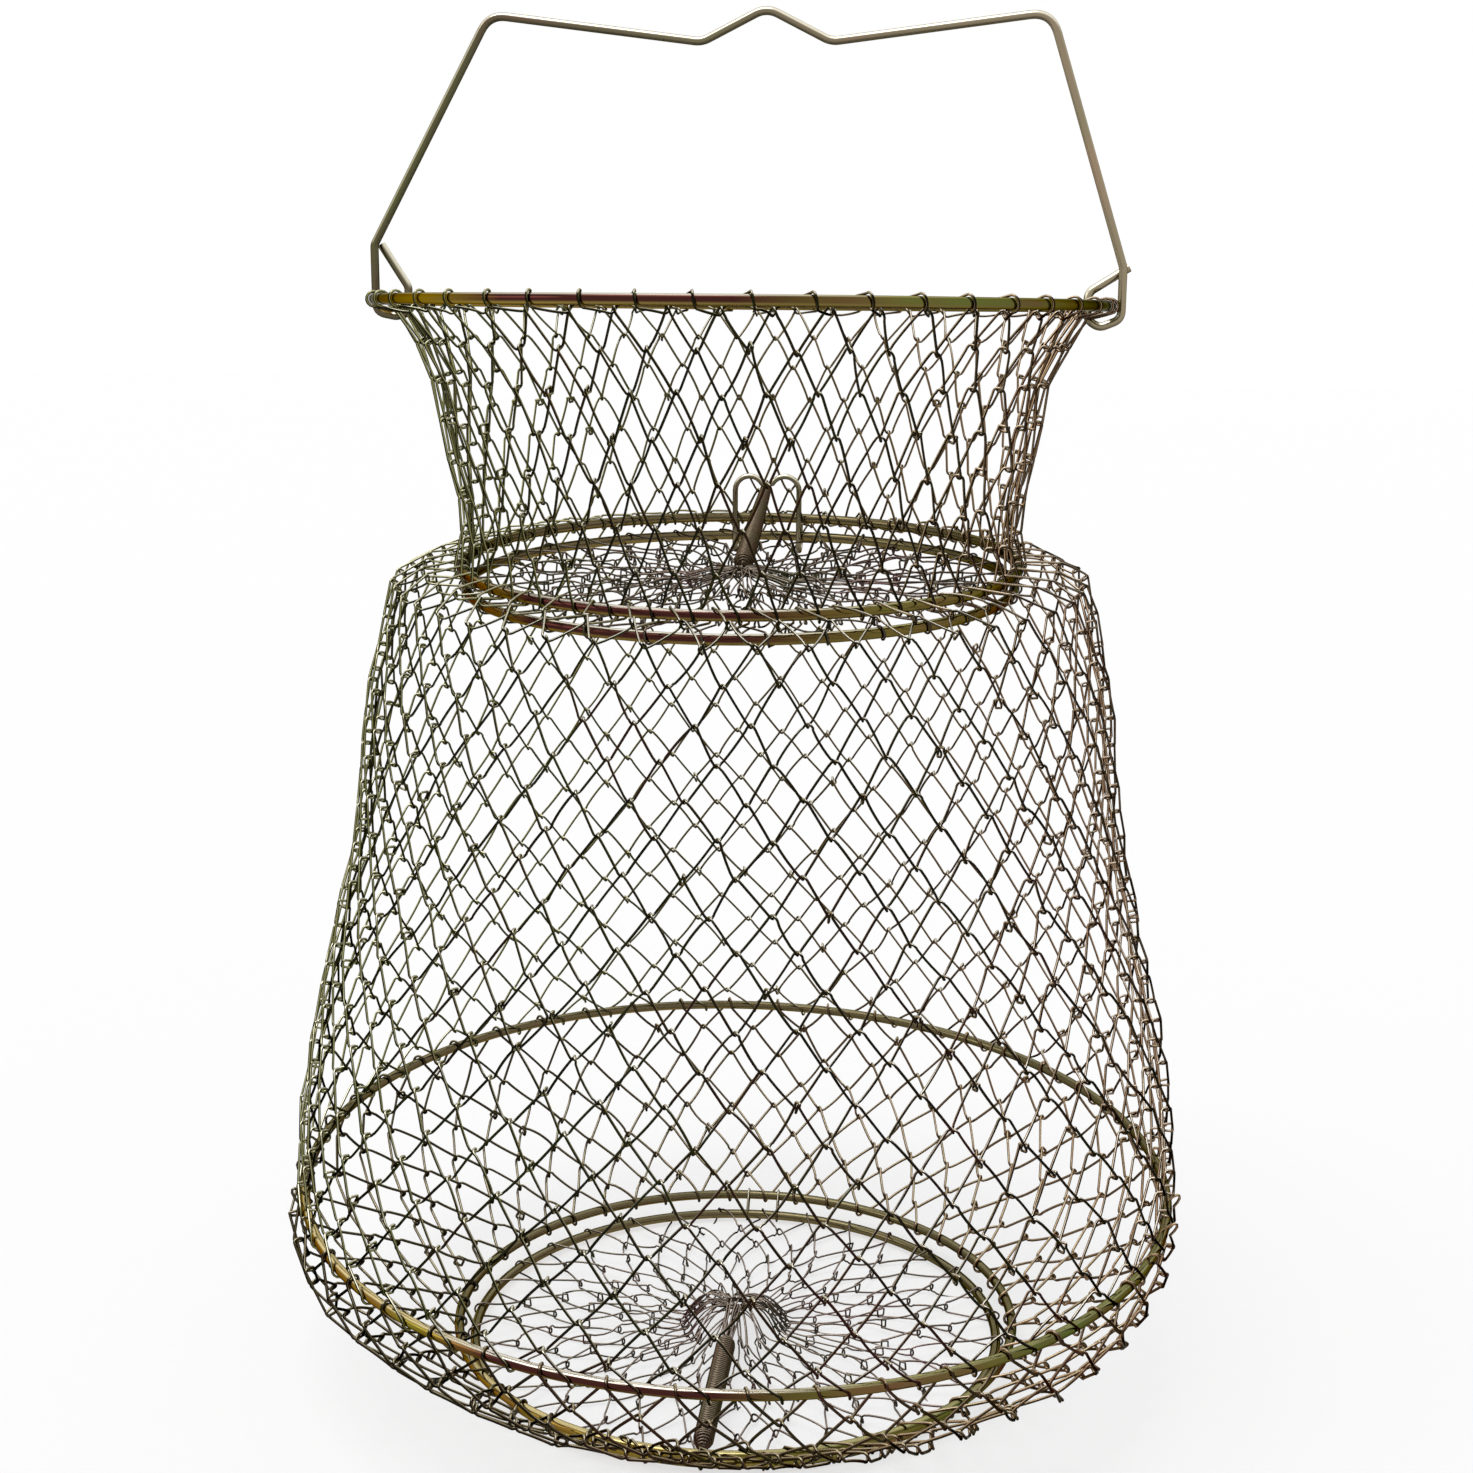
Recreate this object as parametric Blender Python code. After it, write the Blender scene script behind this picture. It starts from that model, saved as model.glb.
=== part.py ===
"""Collapsible wire fish basket: rings, hooked wire mesh, sprung lid, sprung floor door and bail.

Metres, +Z up. The origin is on the surface the basket stands on, on the basket's axis.
The hinges of the lid and of the floor door are at the back (+Y), the bail's eyes are at +X and -X.
"""

from math import atan2, cos, pi, radians, sin, tan, tau

import bmesh
import bpy
from mathutils import Matrix, Vector

# Wire sizes
RING_WIRE = 0.0038
MESH_WIRE = 0.0010
BAIL_WIRE = 0.0030
BRACKET_WIRE = 0.0022
GATHER_WIRE = 0.0016
SPRING_WIRE = 0.0010
HINGE_WIRE = 0.0009

# Clear space between wires that touch, and the extra play of a hook that must turn
GAP = 0.00035
HOOK_PLAY = 0.0002
EYE_PLAY = 0.0005

# Rings: wire centre radii, how far the lid and door rings sit inside theirs, and the levels
RIM_RADIUS = 0.130
NECK_RADIUS = 0.1015
MID_RADIUS = 0.165
BOTTOM_RADIUS = 0.1085
LID_INSET = 0.0015
DOOR_INSET = 0.0060
DOOR_RING_DROP = 0.0065
LID_RING_DROP = 0.0076
BASE_HEIGHT = 0.0615
BODY_HEIGHT = 0.2365
NECK_HEIGHT = 0.0925

# The soft neck lets the rim tip: its front stands higher than its back
RIM_TIP_DEGREES = 2.0

# Outline of the mesh walls. Each pair is a level where two rows hook together: its share of the way
# down the wall, and how far it lies outside the straight line between the wall's two ends, as a share
# of the wall's height
SHOULDER_RADIUS = 0.1240
SHOULDER_DROP = 0.0030
NECK_BULGE_SHARES = ((0.31, -0.128), (0.65, -0.081))
BODY_BULGE_SHARES = (
    (0.14, 0.011), (0.29, 0.008), (0.43, 0.001), (0.57, 0.015), (0.71, 0.017), (0.86, 0.018),
)
BASE_BULGE_SHARES = ((0.64, 0.382),)

# Mesh rows: cells round each row, rows in the lid and the floor door
WALL_CELLS = 18
PANEL_CELLS = 12
PANEL_ROWS = 3
BEND_HALF_WIDTH = 0.0011
GATHER_BEND_HALF_WIDTH = 0.00055

# Lid and door panels: the gathered centre
GATHER_RADIUS = 0.010
LID_RISE = 0.009
DOOR_RISE = 0.011
PANEL_FLAT_SHARE = 0.66

# Bail
BAIL_HEIGHT = 0.0987
BAIL_HALF_WIDTH = 0.098
BAIL_SWAY = 0.008
BAIL_DIP = 0.0094
BAIL_PEAK_RISE = 0.0019
BAIL_PEAK_HALF_WIDTH = 0.0226
BAIL_CORNER_RADIUS = 0.009
EYE_DEPTH = 0.0076
EYE_INNER_INSET = 0.0078
EYE_INNER_TOP = 0.0046
EYE_INNER_LOW = 0.0058
EYE_LOWEST_INSET = 0.0034
EYE_OUTER_LOW = 0.0042
EYE_TAIL_REACH_RIGHT = 0.0062
EYE_TAIL_REACH_LEFT = 0.0010
EYE_TWIST = 0.0018
EYE_BEND_RADIUS = 0.0030
EYE_KNEE_RIGHT = 0.0133
EYE_KNEE_LEFT = 0.0195

# Lid spring bracket
BRACKET_HALF_WIDTH = 0.013
BRACKET_HEIGHT = 0.0187
BRACKET_LOOP_RADIUS = 0.0058
BRACKET_DIP = 0.0006
BRACKET_SWING_ROOM = 0.0013

# Springs
SPRING_OUTER = 0.0056
SPRING_CURLS = 20
POINTS_PER_CURL = 8
COIL_START = 0.0015
LID_SPRING_LEAD = 0.0085
DOOR_SPRING_LEAD = 0.0190

# Door hinge loops
HINGE_LOOP_OFFSET = 0.0065

# Fineness of round shapes
RING_SEGMENTS = 36
RING_SIDES = 8
GATHER_SEGMENTS = 12
GATHER_SIDES = 6

# Sizes that follow from the ones above
RING_HOOK = RING_WIRE / 2 + GAP + MESH_WIRE / 2
RING_STRADDLE = RING_HOOK + HOOK_PLAY
GATHER_HOOK = GATHER_WIRE / 2 + GAP + MESH_WIRE / 2
GATHER_STRADDLE = GATHER_HOOK + HOOK_PLAY
LINK_HALF = (MESH_WIRE + GAP) / 2

LID_RADIUS = NECK_RADIUS - LID_INSET
DOOR_RADIUS = BOTTOM_RADIUS - DOOR_INSET
FLOOR_FLAT = MESH_WIRE / 4
DOOR_Z = RING_STRADDLE + MESH_WIRE / 2 - FLOOR_FLAT
BOTTOM_Z = DOOR_Z + DOOR_RING_DROP
MID_Z = BOTTOM_Z + BASE_HEIGHT
NECK_Z = MID_Z + BODY_HEIGHT
RIM_Z = NECK_Z + NECK_HEIGHT
LID_Z = NECK_Z - LID_RING_DROP
HINGE_LOOP_INSET = HINGE_LOOP_OFFSET * tan(pi / RING_SEGMENTS)
DOOR_AXIS_Y = DOOR_RADIUS - HINGE_LOOP_INSET

ZINC = {
    "ring_steel": ((0.55, 0.47, 0.24), 0.30),
    "bail_steel": ((0.58, 0.53, 0.36), 0.28),
    "mesh_steel": ((0.24, 0.22, 0.15), 0.38),
    "spring_steel": ((0.33, 0.28, 0.22), 0.36),
}


def clear_scene():
    for item in list(bpy.data.objects):
        bpy.data.objects.remove(item, do_unlink=True)


def steel(slot):
    """The yellow zinc finish of one kind of wire."""
    material = bpy.data.materials.get(slot)
    if material is None:
        material = bpy.data.materials.new(slot)
        material.use_nodes = True
        colour, roughness = ZINC[slot]
        shader = material.node_tree.nodes["Principled BSDF"]
        shader.inputs["Base Color"].default_value = (*colour, 1.0)
        shader.inputs["Roughness"].default_value = roughness
        shader.inputs["Metallic"].default_value = 1.0
    return material


def level(name, place, parent=None):
    """An empty on a joint's axis, which carries the pieces that move with it."""
    empty = bpy.data.objects.new(name, None)
    empty.empty_display_size = 0.02
    bpy.context.scene.collection.objects.link(empty)
    empty.parent = parent
    empty.location = Vector(place) - (world_place(parent) if parent else Vector())
    return empty


def world_place(item):
    """Where an unturned object stands, added up along its parents."""
    place = Vector()
    while item is not None:
        place += item.location
        item = item.parent
    return place


def carry(item, parent, place, slot):
    """Hang a new object on its level with its origin at a world place, and give it its finish."""
    bpy.context.scene.collection.objects.link(item)
    item.parent = parent
    item.location = Vector(place) - world_place(parent)
    item.data.materials.append(steel(slot))
    return item


def polar(radius, angle, z):
    return Vector((radius * cos(angle), radius * sin(angle), z))


def ring(name, parent, radius, z, wire, slot, segments=RING_SEGMENTS, sides=RING_SIDES, tip=0.0):
    """A closed round wire: a circle with flats on top and below, revolved about the basket's axis, and
    tipped so that its front is the higher side."""
    shape = bmesh.new()
    profile = []
    for side in range(sides):
        angle = tau * (side + 0.5) / sides if sides % 4 == 0 else tau * side / sides
        profile.append(shape.verts.new((radius + wire / 2 * cos(angle), 0.0, wire / 2 * sin(angle))))
    edges = [shape.edges.new((profile[i - 1], profile[i])) for i in range(sides)]
    bmesh.ops.spin(
        shape,
        geom=profile + edges,
        cent=(0, 0, 0),
        axis=(0, 0, 1),
        angle=tau,
        steps=segments,
        use_merge=True,
    )
    bmesh.ops.remove_doubles(shape, verts=shape.verts, dist=1e-6)
    bmesh.ops.recalc_face_normals(shape, faces=shape.faces)
    bmesh.ops.rotate(shape, verts=shape.verts, cent=(0, 0, 0), matrix=Matrix.Rotation(-tip, 3, "X"))
    mesh = bpy.data.meshes.new(name)
    shape.to_mesh(mesh)
    shape.free()
    mesh.shade_smooth()
    return carry(bpy.data.objects.new(name, mesh), parent, (0, 0, z), slot)


def wire(name, parent, points, diameter, slot, place, closed=False, resolution=0):
    """A bent wire along world points, as a bevelled curve."""
    curve = bpy.data.curves.new(name, "CURVE")
    curve.dimensions = "3D"
    curve.bevel_depth = diameter / 2
    curve.bevel_resolution = resolution
    curve.use_fill_caps = not closed
    spline = curve.splines.new("POLY")
    spline.points.add(len(points) - 1)
    for target, point in zip(spline.points, points):
        target.co = (*(point - Vector(place)), 1.0)
    spline.use_cyclic_u = closed
    spline.use_smooth = True
    return carry(bpy.data.objects.new(name, curve), parent, place, slot)


def bend(points, radius, steps=4):
    """Round the inner corners of a run of points with arcs."""
    run = [points[0]]
    for before, corner, after in zip(points, points[1:], points[2:]):
        back, ahead = (before - corner).normalized(), (after - corner).normalized()
        half = back.angle(ahead) / 2
        reach = min(
            radius * cos(half) / sin(half),
            0.45 * (before - corner).length,
            0.45 * (after - corner).length,
        )
        start, end = corner + back * reach, corner + ahead * reach
        for step in range(steps + 1):
            share = step / steps
            run.append(
                start * (1 - share) ** 2 + corner * 2 * share * (1 - share) + end * share**2
            )
    run.append(points[-1])
    return run


def wall_line(stations):
    """Joint places down a wall, each as (radius, z, direction down the wall)."""
    joints = []
    for i, (radius, z) in enumerate(stations):
        before = stations[max(i - 1, 0)]
        after = stations[min(i + 1, len(stations) - 1)]
        along = Vector((after[0] - before[0], after[1] - before[1])).normalized()
        joints.append((radius, z, along))
    return joints


def wall_point(joint, angle, reach, side):
    """A point past a joint: reach down the wall, side out of it."""
    radius, z, along = joint
    outward = Vector((-along.y, along.x))
    spot = Vector((radius, z)) + along * reach + outward * side
    return polar(spot.x, angle, spot.y)


def tipped(point):
    """A point of the neck where the tipped rim carries it."""
    share = (point.z - NECK_Z) / NECK_HEIGHT
    return point - Vector((0, 0, point.y * tan(radians(RIM_TIP_DEGREES)) * share))


def mesh_row(name, parent, joints, cells, phase, place, ends):
    """One closed zigzag wire. Its bends pass from the inside to the outside of the wall, so that each
    bend hooks round the bend of the next row, or round the ring at the wall's end."""
    (top_reach, top_side, top_half), (low_reach, low_side, low_half) = ends
    upper, lower = joints
    step = tau / cells
    points = []
    for cell in range(cells):
        peak = (cell + phase) * step
        valley = peak + step / 2
        top_turn, low_turn = top_half / upper[0], low_half / lower[0]
        points.append(wall_point(upper, peak - top_turn, -top_reach, -top_side))
        points.append(wall_point(upper, peak + top_turn, -top_reach, top_side))
        points.append(wall_point(lower, valley - low_turn, low_reach, low_side))
        points.append(wall_point(lower, valley + low_turn, low_reach, -low_side))
    if lower[1] >= NECK_Z:
        points = [tipped(point) for point in points]
    return wire(name, parent, points, MESH_WIRE, "mesh_steel", place, closed=True)


RING_END = (RING_HOOK, RING_STRADDLE, BEND_HALF_WIDTH)
LINK_END = (LINK_HALF, LINK_HALF, BEND_HALF_WIDTH)
GATHER_END = (GATHER_HOOK, GATHER_STRADDLE, GATHER_BEND_HALF_WIDTH)


def mesh_wall(name, parent, stations, cells, phase, place, last_end=RING_END):
    """All rows between two rings, hooked to the rings and to each other."""
    joints = wall_line(stations)
    rows = []
    for row in range(len(joints) - 1):
        first, last = row == 0, row == len(joints) - 2
        ends = (RING_END if first else LINK_END, last_end if last else LINK_END)
        row_phase = (phase + 0.5 * row) % 1.0
        rows.append(
            mesh_row(f"{name}_{row + 1}", parent, joints[row : row + 2], cells, row_phase, place, ends)
        )
    return rows


def bulged(top, low, bulges):
    """Stations down a wall from its top to its low end, both (radius, z)."""
    stations = [top]
    height = top[1] - low[1]
    for share, bulge in bulges:
        radius = top[0] + (low[0] - top[0]) * share + bulge * height
        stations.append((radius, top[1] - height * share))
    return stations + [low]


def neck_stations():
    """The funnel: it leaves the rim fast and comes down nearly straight to the neck ring."""
    return bulged((RIM_RADIUS, RIM_Z), (NECK_RADIUS, NECK_Z), NECK_BULGE_SHARES)


def body_stations():
    """A nearly level shoulder row, then a wall that swells, has a slight waist and widens to the mid ring."""
    shoulder = (SHOULDER_RADIUS, NECK_Z - SHOULDER_DROP)
    return [(NECK_RADIUS, NECK_Z)] + bulged(shoulder, (MID_RADIUS, MID_Z), BODY_BULGE_SHARES)


def base_stations():
    """The bag under the mid ring: it hangs nearly straight down and turns in to the bottom ring."""
    return bulged((MID_RADIUS, MID_Z), (BOTTOM_RADIUS, BOTTOM_Z), BASE_BULGE_SHARES)


def panel_stations(radius, z, rise):
    """A flat round panel whose last row climbs to the gathered centre."""
    stations = []
    for row in range(PANEL_ROWS + 1):
        share = row / PANEL_ROWS
        climb = max(0.0, (share - PANEL_FLAT_SHARE) / (1 - PANEL_FLAT_SHARE))
        stations.append((radius + (GATHER_RADIUS - radius) * share, z + rise * climb))
    return stations


def flatten_underside(item):
    """Cut the hooks that the basket stands on level with the ground."""
    shape = bmesh.new()
    evaluated = item.evaluated_get(bpy.context.evaluated_depsgraph_get())
    shape.from_mesh(evaluated.to_mesh())
    height = world_place(item).z
    bmesh.ops.bisect_plane(
        shape,
        geom=list(shape.verts) + list(shape.edges) + list(shape.faces),
        plane_co=(0, 0, -height),
        plane_no=(0, 0, -1),
        clear_outer=True,
    )
    open_edges = [edge for edge in shape.edges if edge.is_boundary]
    bmesh.ops.holes_fill(shape, edges=open_edges, sides=0)
    bmesh.ops.remove_doubles(shape, verts=shape.verts, dist=1e-7)
    bmesh.ops.recalc_face_normals(shape, faces=shape.faces)
    mesh = bpy.data.meshes.new(item.name)
    shape.to_mesh(mesh)
    shape.free()
    mesh.materials.append(item.data.materials[0])
    name, parent, place = item.name, item.parent, item.location.copy()
    bpy.data.objects.remove(item, do_unlink=True)
    flat = bpy.data.objects.new(name, mesh)
    bpy.context.scene.collection.objects.link(flat)
    flat.parent = parent
    flat.location = place
    return flat


def spring_path(start, end, start_eye, end_eye, lead, curls=SPRING_CURLS):
    """A coil between two wires that run along X, with a hook round each of them."""
    along = (end - start).normalized()
    up = Vector((1, 0, 0)).cross(along)
    if up.z < 0:
        up = -up
    side = along.cross(up)
    coil_radius = (SPRING_OUTER - SPRING_WIRE) / 2
    length = (end - start).length
    first = start_eye + lead
    last = length - end_eye - COIL_START
    points = []
    for angle in range(320, 45, -45):
        turn = radians(angle)
        points.append(start + along * (start_eye * cos(turn)) + up * (start_eye * sin(turn)))
    points.append(start + along * (start_eye + COIL_START))
    points.append(start + along * (first - COIL_START))
    count = curls * POINTS_PER_CURL
    for step in range(count + 1):
        share = step / count
        turn = tau * curls * share
        points.append(
            start
            + along * (first + (last - first) * share)
            + up * (coil_radius * cos(turn))
            + side * (coil_radius * sin(turn))
        )
    for angle in range(50, 325, 45):
        turn = radians(angle)
        points.append(end - along * (end_eye * cos(turn)) + up * (end_eye * sin(turn)))
    return points


def least_self_gap(points, diameter):
    """The smallest gap of a wire to itself, measured between points that aren't close along it."""
    apart = 4 * diameter
    travelled = [0.0]
    for before, after in zip(points, points[1:]):
        travelled.append(travelled[-1] + (after - before).length)
    least = None
    for i, one in enumerate(points):
        for j in range(i + 1, len(points)):
            if travelled[j] - travelled[i] < apart:
                continue
            gap = (points[j] - one).length - diameter
            least = gap if least is None else min(least, gap)
    return least


def eye_radius(held_wire):
    """The radius of a spring's hook round a wire."""
    return held_wire / 2 + GAP + SPRING_WIRE / 2 + HOOK_PLAY


def bracket_plane():
    """How far back the bracket's legs stand: inside the mesh hooks on the neck ring."""
    clear = NECK_RADIUS - RING_STRADDLE - MESH_WIRE / 2 - GAP - BRACKET_WIRE / 2
    return (clear**2 - BRACKET_HALF_WIDTH**2) ** 0.5


def bracket_points():
    """Right half of the bracket, from the tail behind the rings to the dip where the spring hooks on."""
    x = BRACKET_HALF_WIDTH
    front = bracket_plane()
    outer = NECK_RADIUS + RING_WIRE / 2 + GAP + BRACKET_WIRE / 2
    back = (outer**2 - x**2) ** 0.5
    hook_radius = (back - front) / 2
    lowest = LID_Z - RING_WIRE / 2 - BRACKET_SWING_ROOM - GAP - BRACKET_WIRE
    hook_z = lowest + hook_radius
    points = [Vector((x, back, NECK_Z))]
    for step in range(5):
        angle = -pi * step / 4
        points.append(
            Vector((x, front + hook_radius * (1 + cos(angle)), hook_z + hook_radius * sin(angle)))
        )
    loop_z = NECK_Z + BRACKET_HEIGHT - BRACKET_WIRE / 2 - BRACKET_LOOP_RADIUS
    loop_x = x - BRACKET_LOOP_RADIUS
    for step in range(6):
        angle = radians(30) * step
        points.append(
            Vector(
                (
                    loop_x + BRACKET_LOOP_RADIUS * cos(angle),
                    front,
                    loop_z + BRACKET_LOOP_RADIUS * sin(angle),
                )
            )
        )
    return points


def knot_place():
    """The dip between the bracket's two loops."""
    last = bracket_points()[-1]
    return Vector((0, bracket_plane(), last.z - BRACKET_DIP))


def mirrored(points):
    return [Vector((-point.x, point.y, point.z)) for point in reversed(points)]


def bail_eye(side, knee, tail_reach):
    """The eye round the rim on one side, from its cut tail to its knee, as (x, y, z)."""
    outer = RIM_RADIUS + RING_WIRE / 2 + GAP + BAIL_WIRE / 2 + HOOK_PLAY
    inner = RIM_RADIUS - EYE_INNER_INSET
    behind = BAIL_WIRE + GAP + EYE_PLAY
    corners = [
        (RIM_RADIUS + tail_reach, behind, knee),
        (inner, EYE_TWIST, EYE_INNER_TOP),
        (inner, 0.0, -EYE_INNER_LOW),
        (RIM_RADIUS - EYE_LOWEST_INSET, 0.0, -EYE_DEPTH),
        (outer, 0.0, -EYE_OUTER_LOW),
        (outer, 0.0, knee),
    ]
    return [Vector((side * x, y, RIM_Z + z)) for x, y, z in corners]


def bail_points():
    """The whole bail: eye, arm, M-shaped grip, arm, eye."""
    top = RIM_Z + BAIL_HEIGHT
    crest = [
        (BAIL_SWAY + BAIL_HALF_WIDTH, top),
        (BAIL_SWAY + BAIL_PEAK_HALF_WIDTH, top - BAIL_DIP),
        (BAIL_SWAY, top + BAIL_PEAK_RISE),
        (BAIL_SWAY - BAIL_PEAK_HALF_WIDTH, top - BAIL_DIP),
        (BAIL_SWAY - BAIL_HALF_WIDTH, top),
    ]
    right = bail_eye(1, EYE_KNEE_RIGHT, EYE_TAIL_REACH_RIGHT)
    left = bail_eye(-1, EYE_KNEE_LEFT, EYE_TAIL_REACH_LEFT)
    corners = right + [Vector((x, 0.0, z)) for x, z in crest] + left[::-1]
    eye = len(right) - 1
    arm = (corners[eye] + corners[eye + 1]) / 2
    run = bend(corners[: eye + 1] + [arm], EYE_BEND_RADIUS, 3)[:-1]
    run += bend(corners[eye : len(corners) - eye], BAIL_CORNER_RADIUS, 4)[1:-1]
    far_eye = corners[len(corners) - eye - 1 :]
    arm = (corners[-eye - 2] + far_eye[0]) / 2
    run += bend([arm] + far_eye, EYE_BEND_RADIUS, 3)[1:]
    return run


def hinge_loop_points(x):
    """A closed loop round the bottom ring and the door ring, in a plane along Y."""
    held = RING_WIRE / 2 + GAP + HOOK_PLAY + HINGE_WIRE / 2
    fixed = Vector((x, BOTTOM_RADIUS - HINGE_LOOP_INSET, BOTTOM_Z))
    hung = Vector((x, DOOR_AXIS_Y, DOOR_Z))
    lean = atan2(fixed.z - hung.z, fixed.y - hung.y)
    points = []
    for centre, start in ((fixed, lean - pi / 2), (hung, lean + pi / 2)):
        for step in range(6):
            angle = start + pi * step / 5
            points.append(centre + Vector((0, held * cos(angle), held * sin(angle))))
    return points


def build_rings(levels):
    slot = "ring_steel"
    tip = radians(RIM_TIP_DEGREES)
    ring("rim_ring", levels["rim"], RIM_RADIUS, RIM_Z, RING_WIRE, slot, tip=tip)
    ring("neck_ring", levels["neck"], NECK_RADIUS, NECK_Z, RING_WIRE, slot)
    ring("mid_ring", levels["mid"], MID_RADIUS, MID_Z, RING_WIRE, slot)
    ring("bottom_ring", levels["base"], BOTTOM_RADIUS, BOTTOM_Z, RING_WIRE, slot)
    ring("lid_ring", levels["lid"], LID_RADIUS, LID_Z, RING_WIRE, slot)
    ring("door_ring", levels["door"], DOOR_RADIUS, DOOR_Z, RING_WIRE, slot)


def build_walls(levels):
    mesh_wall("neck_mesh_row", levels["neck"], neck_stations(), WALL_CELLS, 0.5, (0, 0, NECK_Z))
    mesh_wall("body_mesh_row", levels["mid"], body_stations(), WALL_CELLS, 0.5, (0, 0, MID_Z))
    mesh_wall("base_mesh_row", levels["base"], base_stations(), WALL_CELLS, 0.0, (0, 0, BOTTOM_Z))


def build_panels(levels):
    """The lid and the floor door: a ring, mesh rows and the small ring that gathers the centre."""
    for name, radius, z, rise, axis_y in (
        ("lid", LID_RADIUS, LID_Z, LID_RISE, LID_RADIUS),
        ("door", DOOR_RADIUS, DOOR_Z, DOOR_RISE, DOOR_AXIS_Y),
    ):
        holder = levels[name]
        rows = mesh_wall(
            f"{name}_mesh_row",
            holder,
            panel_stations(radius, z, rise),
            PANEL_CELLS,
            0.0,
            (0, axis_y, z),
            last_end=GATHER_END,
        )
        if name == "door":
            flatten_underside(rows[0])
        ring(
            f"{name}_gather_ring",
            holder,
            GATHER_RADIUS,
            z + rise,
            GATHER_WIRE,
            "mesh_steel",
            GATHER_SEGMENTS,
            GATHER_SIDES,
        )


def build_lid_spring(levels):
    half = bracket_points()
    knot = knot_place()
    points = half + [knot] + mirrored(half)
    wire(
        "lid_spring_bracket",
        levels["neck"],
        points,
        BRACKET_WIRE,
        "bail_steel",
        (0, 0, NECK_Z),
        resolution=1,
    )
    start = Vector((0, GATHER_RADIUS, LID_Z + LID_RISE))
    coil = spring_path(
        start, knot, eye_radius(GATHER_WIRE), eye_radius(BRACKET_WIRE), LID_SPRING_LEAD
    )
    print("lid_spring least gap to itself, mm:", round(1000 * least_self_gap(coil, SPRING_WIRE), 2))
    wire(
        "lid_spring",
        levels["lid"],
        coil,
        SPRING_WIRE,
        "spring_steel",
        (0, LID_RADIUS, LID_Z),
        resolution=1,
    )


def build_door_spring(levels):
    start = Vector((0, -GATHER_RADIUS, DOOR_Z + DOOR_RISE))
    end = Vector((0, -BOTTOM_RADIUS, BOTTOM_Z))
    coil = spring_path(
        start, end, eye_radius(GATHER_WIRE), eye_radius(RING_WIRE), DOOR_SPRING_LEAD
    )
    print("door_spring least gap to itself, mm:", round(1000 * least_self_gap(coil, SPRING_WIRE), 2))
    wire(
        "door_spring",
        levels["door"],
        coil,
        SPRING_WIRE,
        "spring_steel",
        (0, DOOR_AXIS_Y, DOOR_Z),
        resolution=1,
    )


def build_door_hinge(levels):
    for name, x in (("left", -HINGE_LOOP_OFFSET), ("right", HINGE_LOOP_OFFSET)):
        wire(
            f"door_hinge_loop_{name}",
            levels["base"],
            hinge_loop_points(x),
            HINGE_WIRE,
            "mesh_steel",
            (x, DOOR_AXIS_Y, DOOR_Z),
            closed=True,
        )


def build_bail(levels):
    wire(
        "carry_handle",
        levels["handle"],
        bail_points(),
        BAIL_WIRE,
        "bail_steel",
        (0, 0, RIM_Z),
        resolution=2,
    )


def main():
    clear_scene()
    levels = {"base": level("base_level", (0, 0, 0))}
    levels["mid"] = level("mid_level", (0, 0, MID_Z), levels["base"])
    levels["neck"] = level("neck_level", (0, 0, NECK_Z), levels["mid"])
    levels["rim"] = level("rim_level", (0, 0, RIM_Z), levels["neck"])
    levels["handle"] = level("handle_axis", (0, 0, RIM_Z), levels["rim"])
    levels["lid"] = level("lid_hinge_axis", (0, LID_RADIUS, LID_Z), levels["neck"])
    levels["door"] = level("door_hinge_axis", (0, DOOR_AXIS_Y, DOOR_Z), levels["base"])
    build_rings(levels)
    build_walls(levels)
    build_panels(levels)
    build_lid_spring(levels)
    build_door_spring(levels)
    build_door_hinge(levels)
    build_bail(levels)


main()
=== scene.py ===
from bisect import bisect_left
from collections import namedtuple
from functools import partial
from math import atan2, cos, pi, radians, sin, tan, tau
from random import Random

import bpy
from mathutils import Matrix, Vector


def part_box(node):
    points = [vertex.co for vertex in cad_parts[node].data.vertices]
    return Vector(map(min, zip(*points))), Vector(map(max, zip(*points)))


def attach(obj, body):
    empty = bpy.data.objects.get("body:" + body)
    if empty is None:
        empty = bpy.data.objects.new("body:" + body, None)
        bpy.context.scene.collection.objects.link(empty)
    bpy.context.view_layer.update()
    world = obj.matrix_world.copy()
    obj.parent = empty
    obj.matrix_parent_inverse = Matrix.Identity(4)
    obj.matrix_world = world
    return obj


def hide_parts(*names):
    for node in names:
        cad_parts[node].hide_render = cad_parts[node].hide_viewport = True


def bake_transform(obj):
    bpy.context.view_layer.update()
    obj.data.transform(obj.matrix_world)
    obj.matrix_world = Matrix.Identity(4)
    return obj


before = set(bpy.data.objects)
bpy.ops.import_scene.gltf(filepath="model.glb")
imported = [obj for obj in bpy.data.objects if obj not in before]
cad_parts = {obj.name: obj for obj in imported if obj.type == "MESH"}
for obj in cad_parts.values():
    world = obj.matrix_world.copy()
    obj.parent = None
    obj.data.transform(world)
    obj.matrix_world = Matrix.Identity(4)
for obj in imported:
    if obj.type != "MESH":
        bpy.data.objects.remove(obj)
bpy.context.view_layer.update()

# Wire sizes, in metres as everything here
RING_WIRE = 0.0038
MESH_WIRE = 0.00098
PANEL_WIRE = 0.00080
BAIL_WIRE = 0.0030
BRACKET_WIRE = 0.0022
SPRING_WIRE = 0.0008
HINGE_WIRE = 0.0009
GATHER_WIRE = 0.0012
GAP = 0.0001

# The net: cells round each wall and each panel, and rows in each
CELLS = 46
PANEL_CELLS = 32
NECK_ROWS = 8
BODY_ROWS = 22
BASE_ROWS = 8
PANEL_ROWS = 7

# Rows of each in the frame
NECK_CAD_ROWS = 3
BODY_CAD_ROWS = 8
BASE_CAD_ROWS = 2
PANEL_CAD_ROWS = 3

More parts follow.
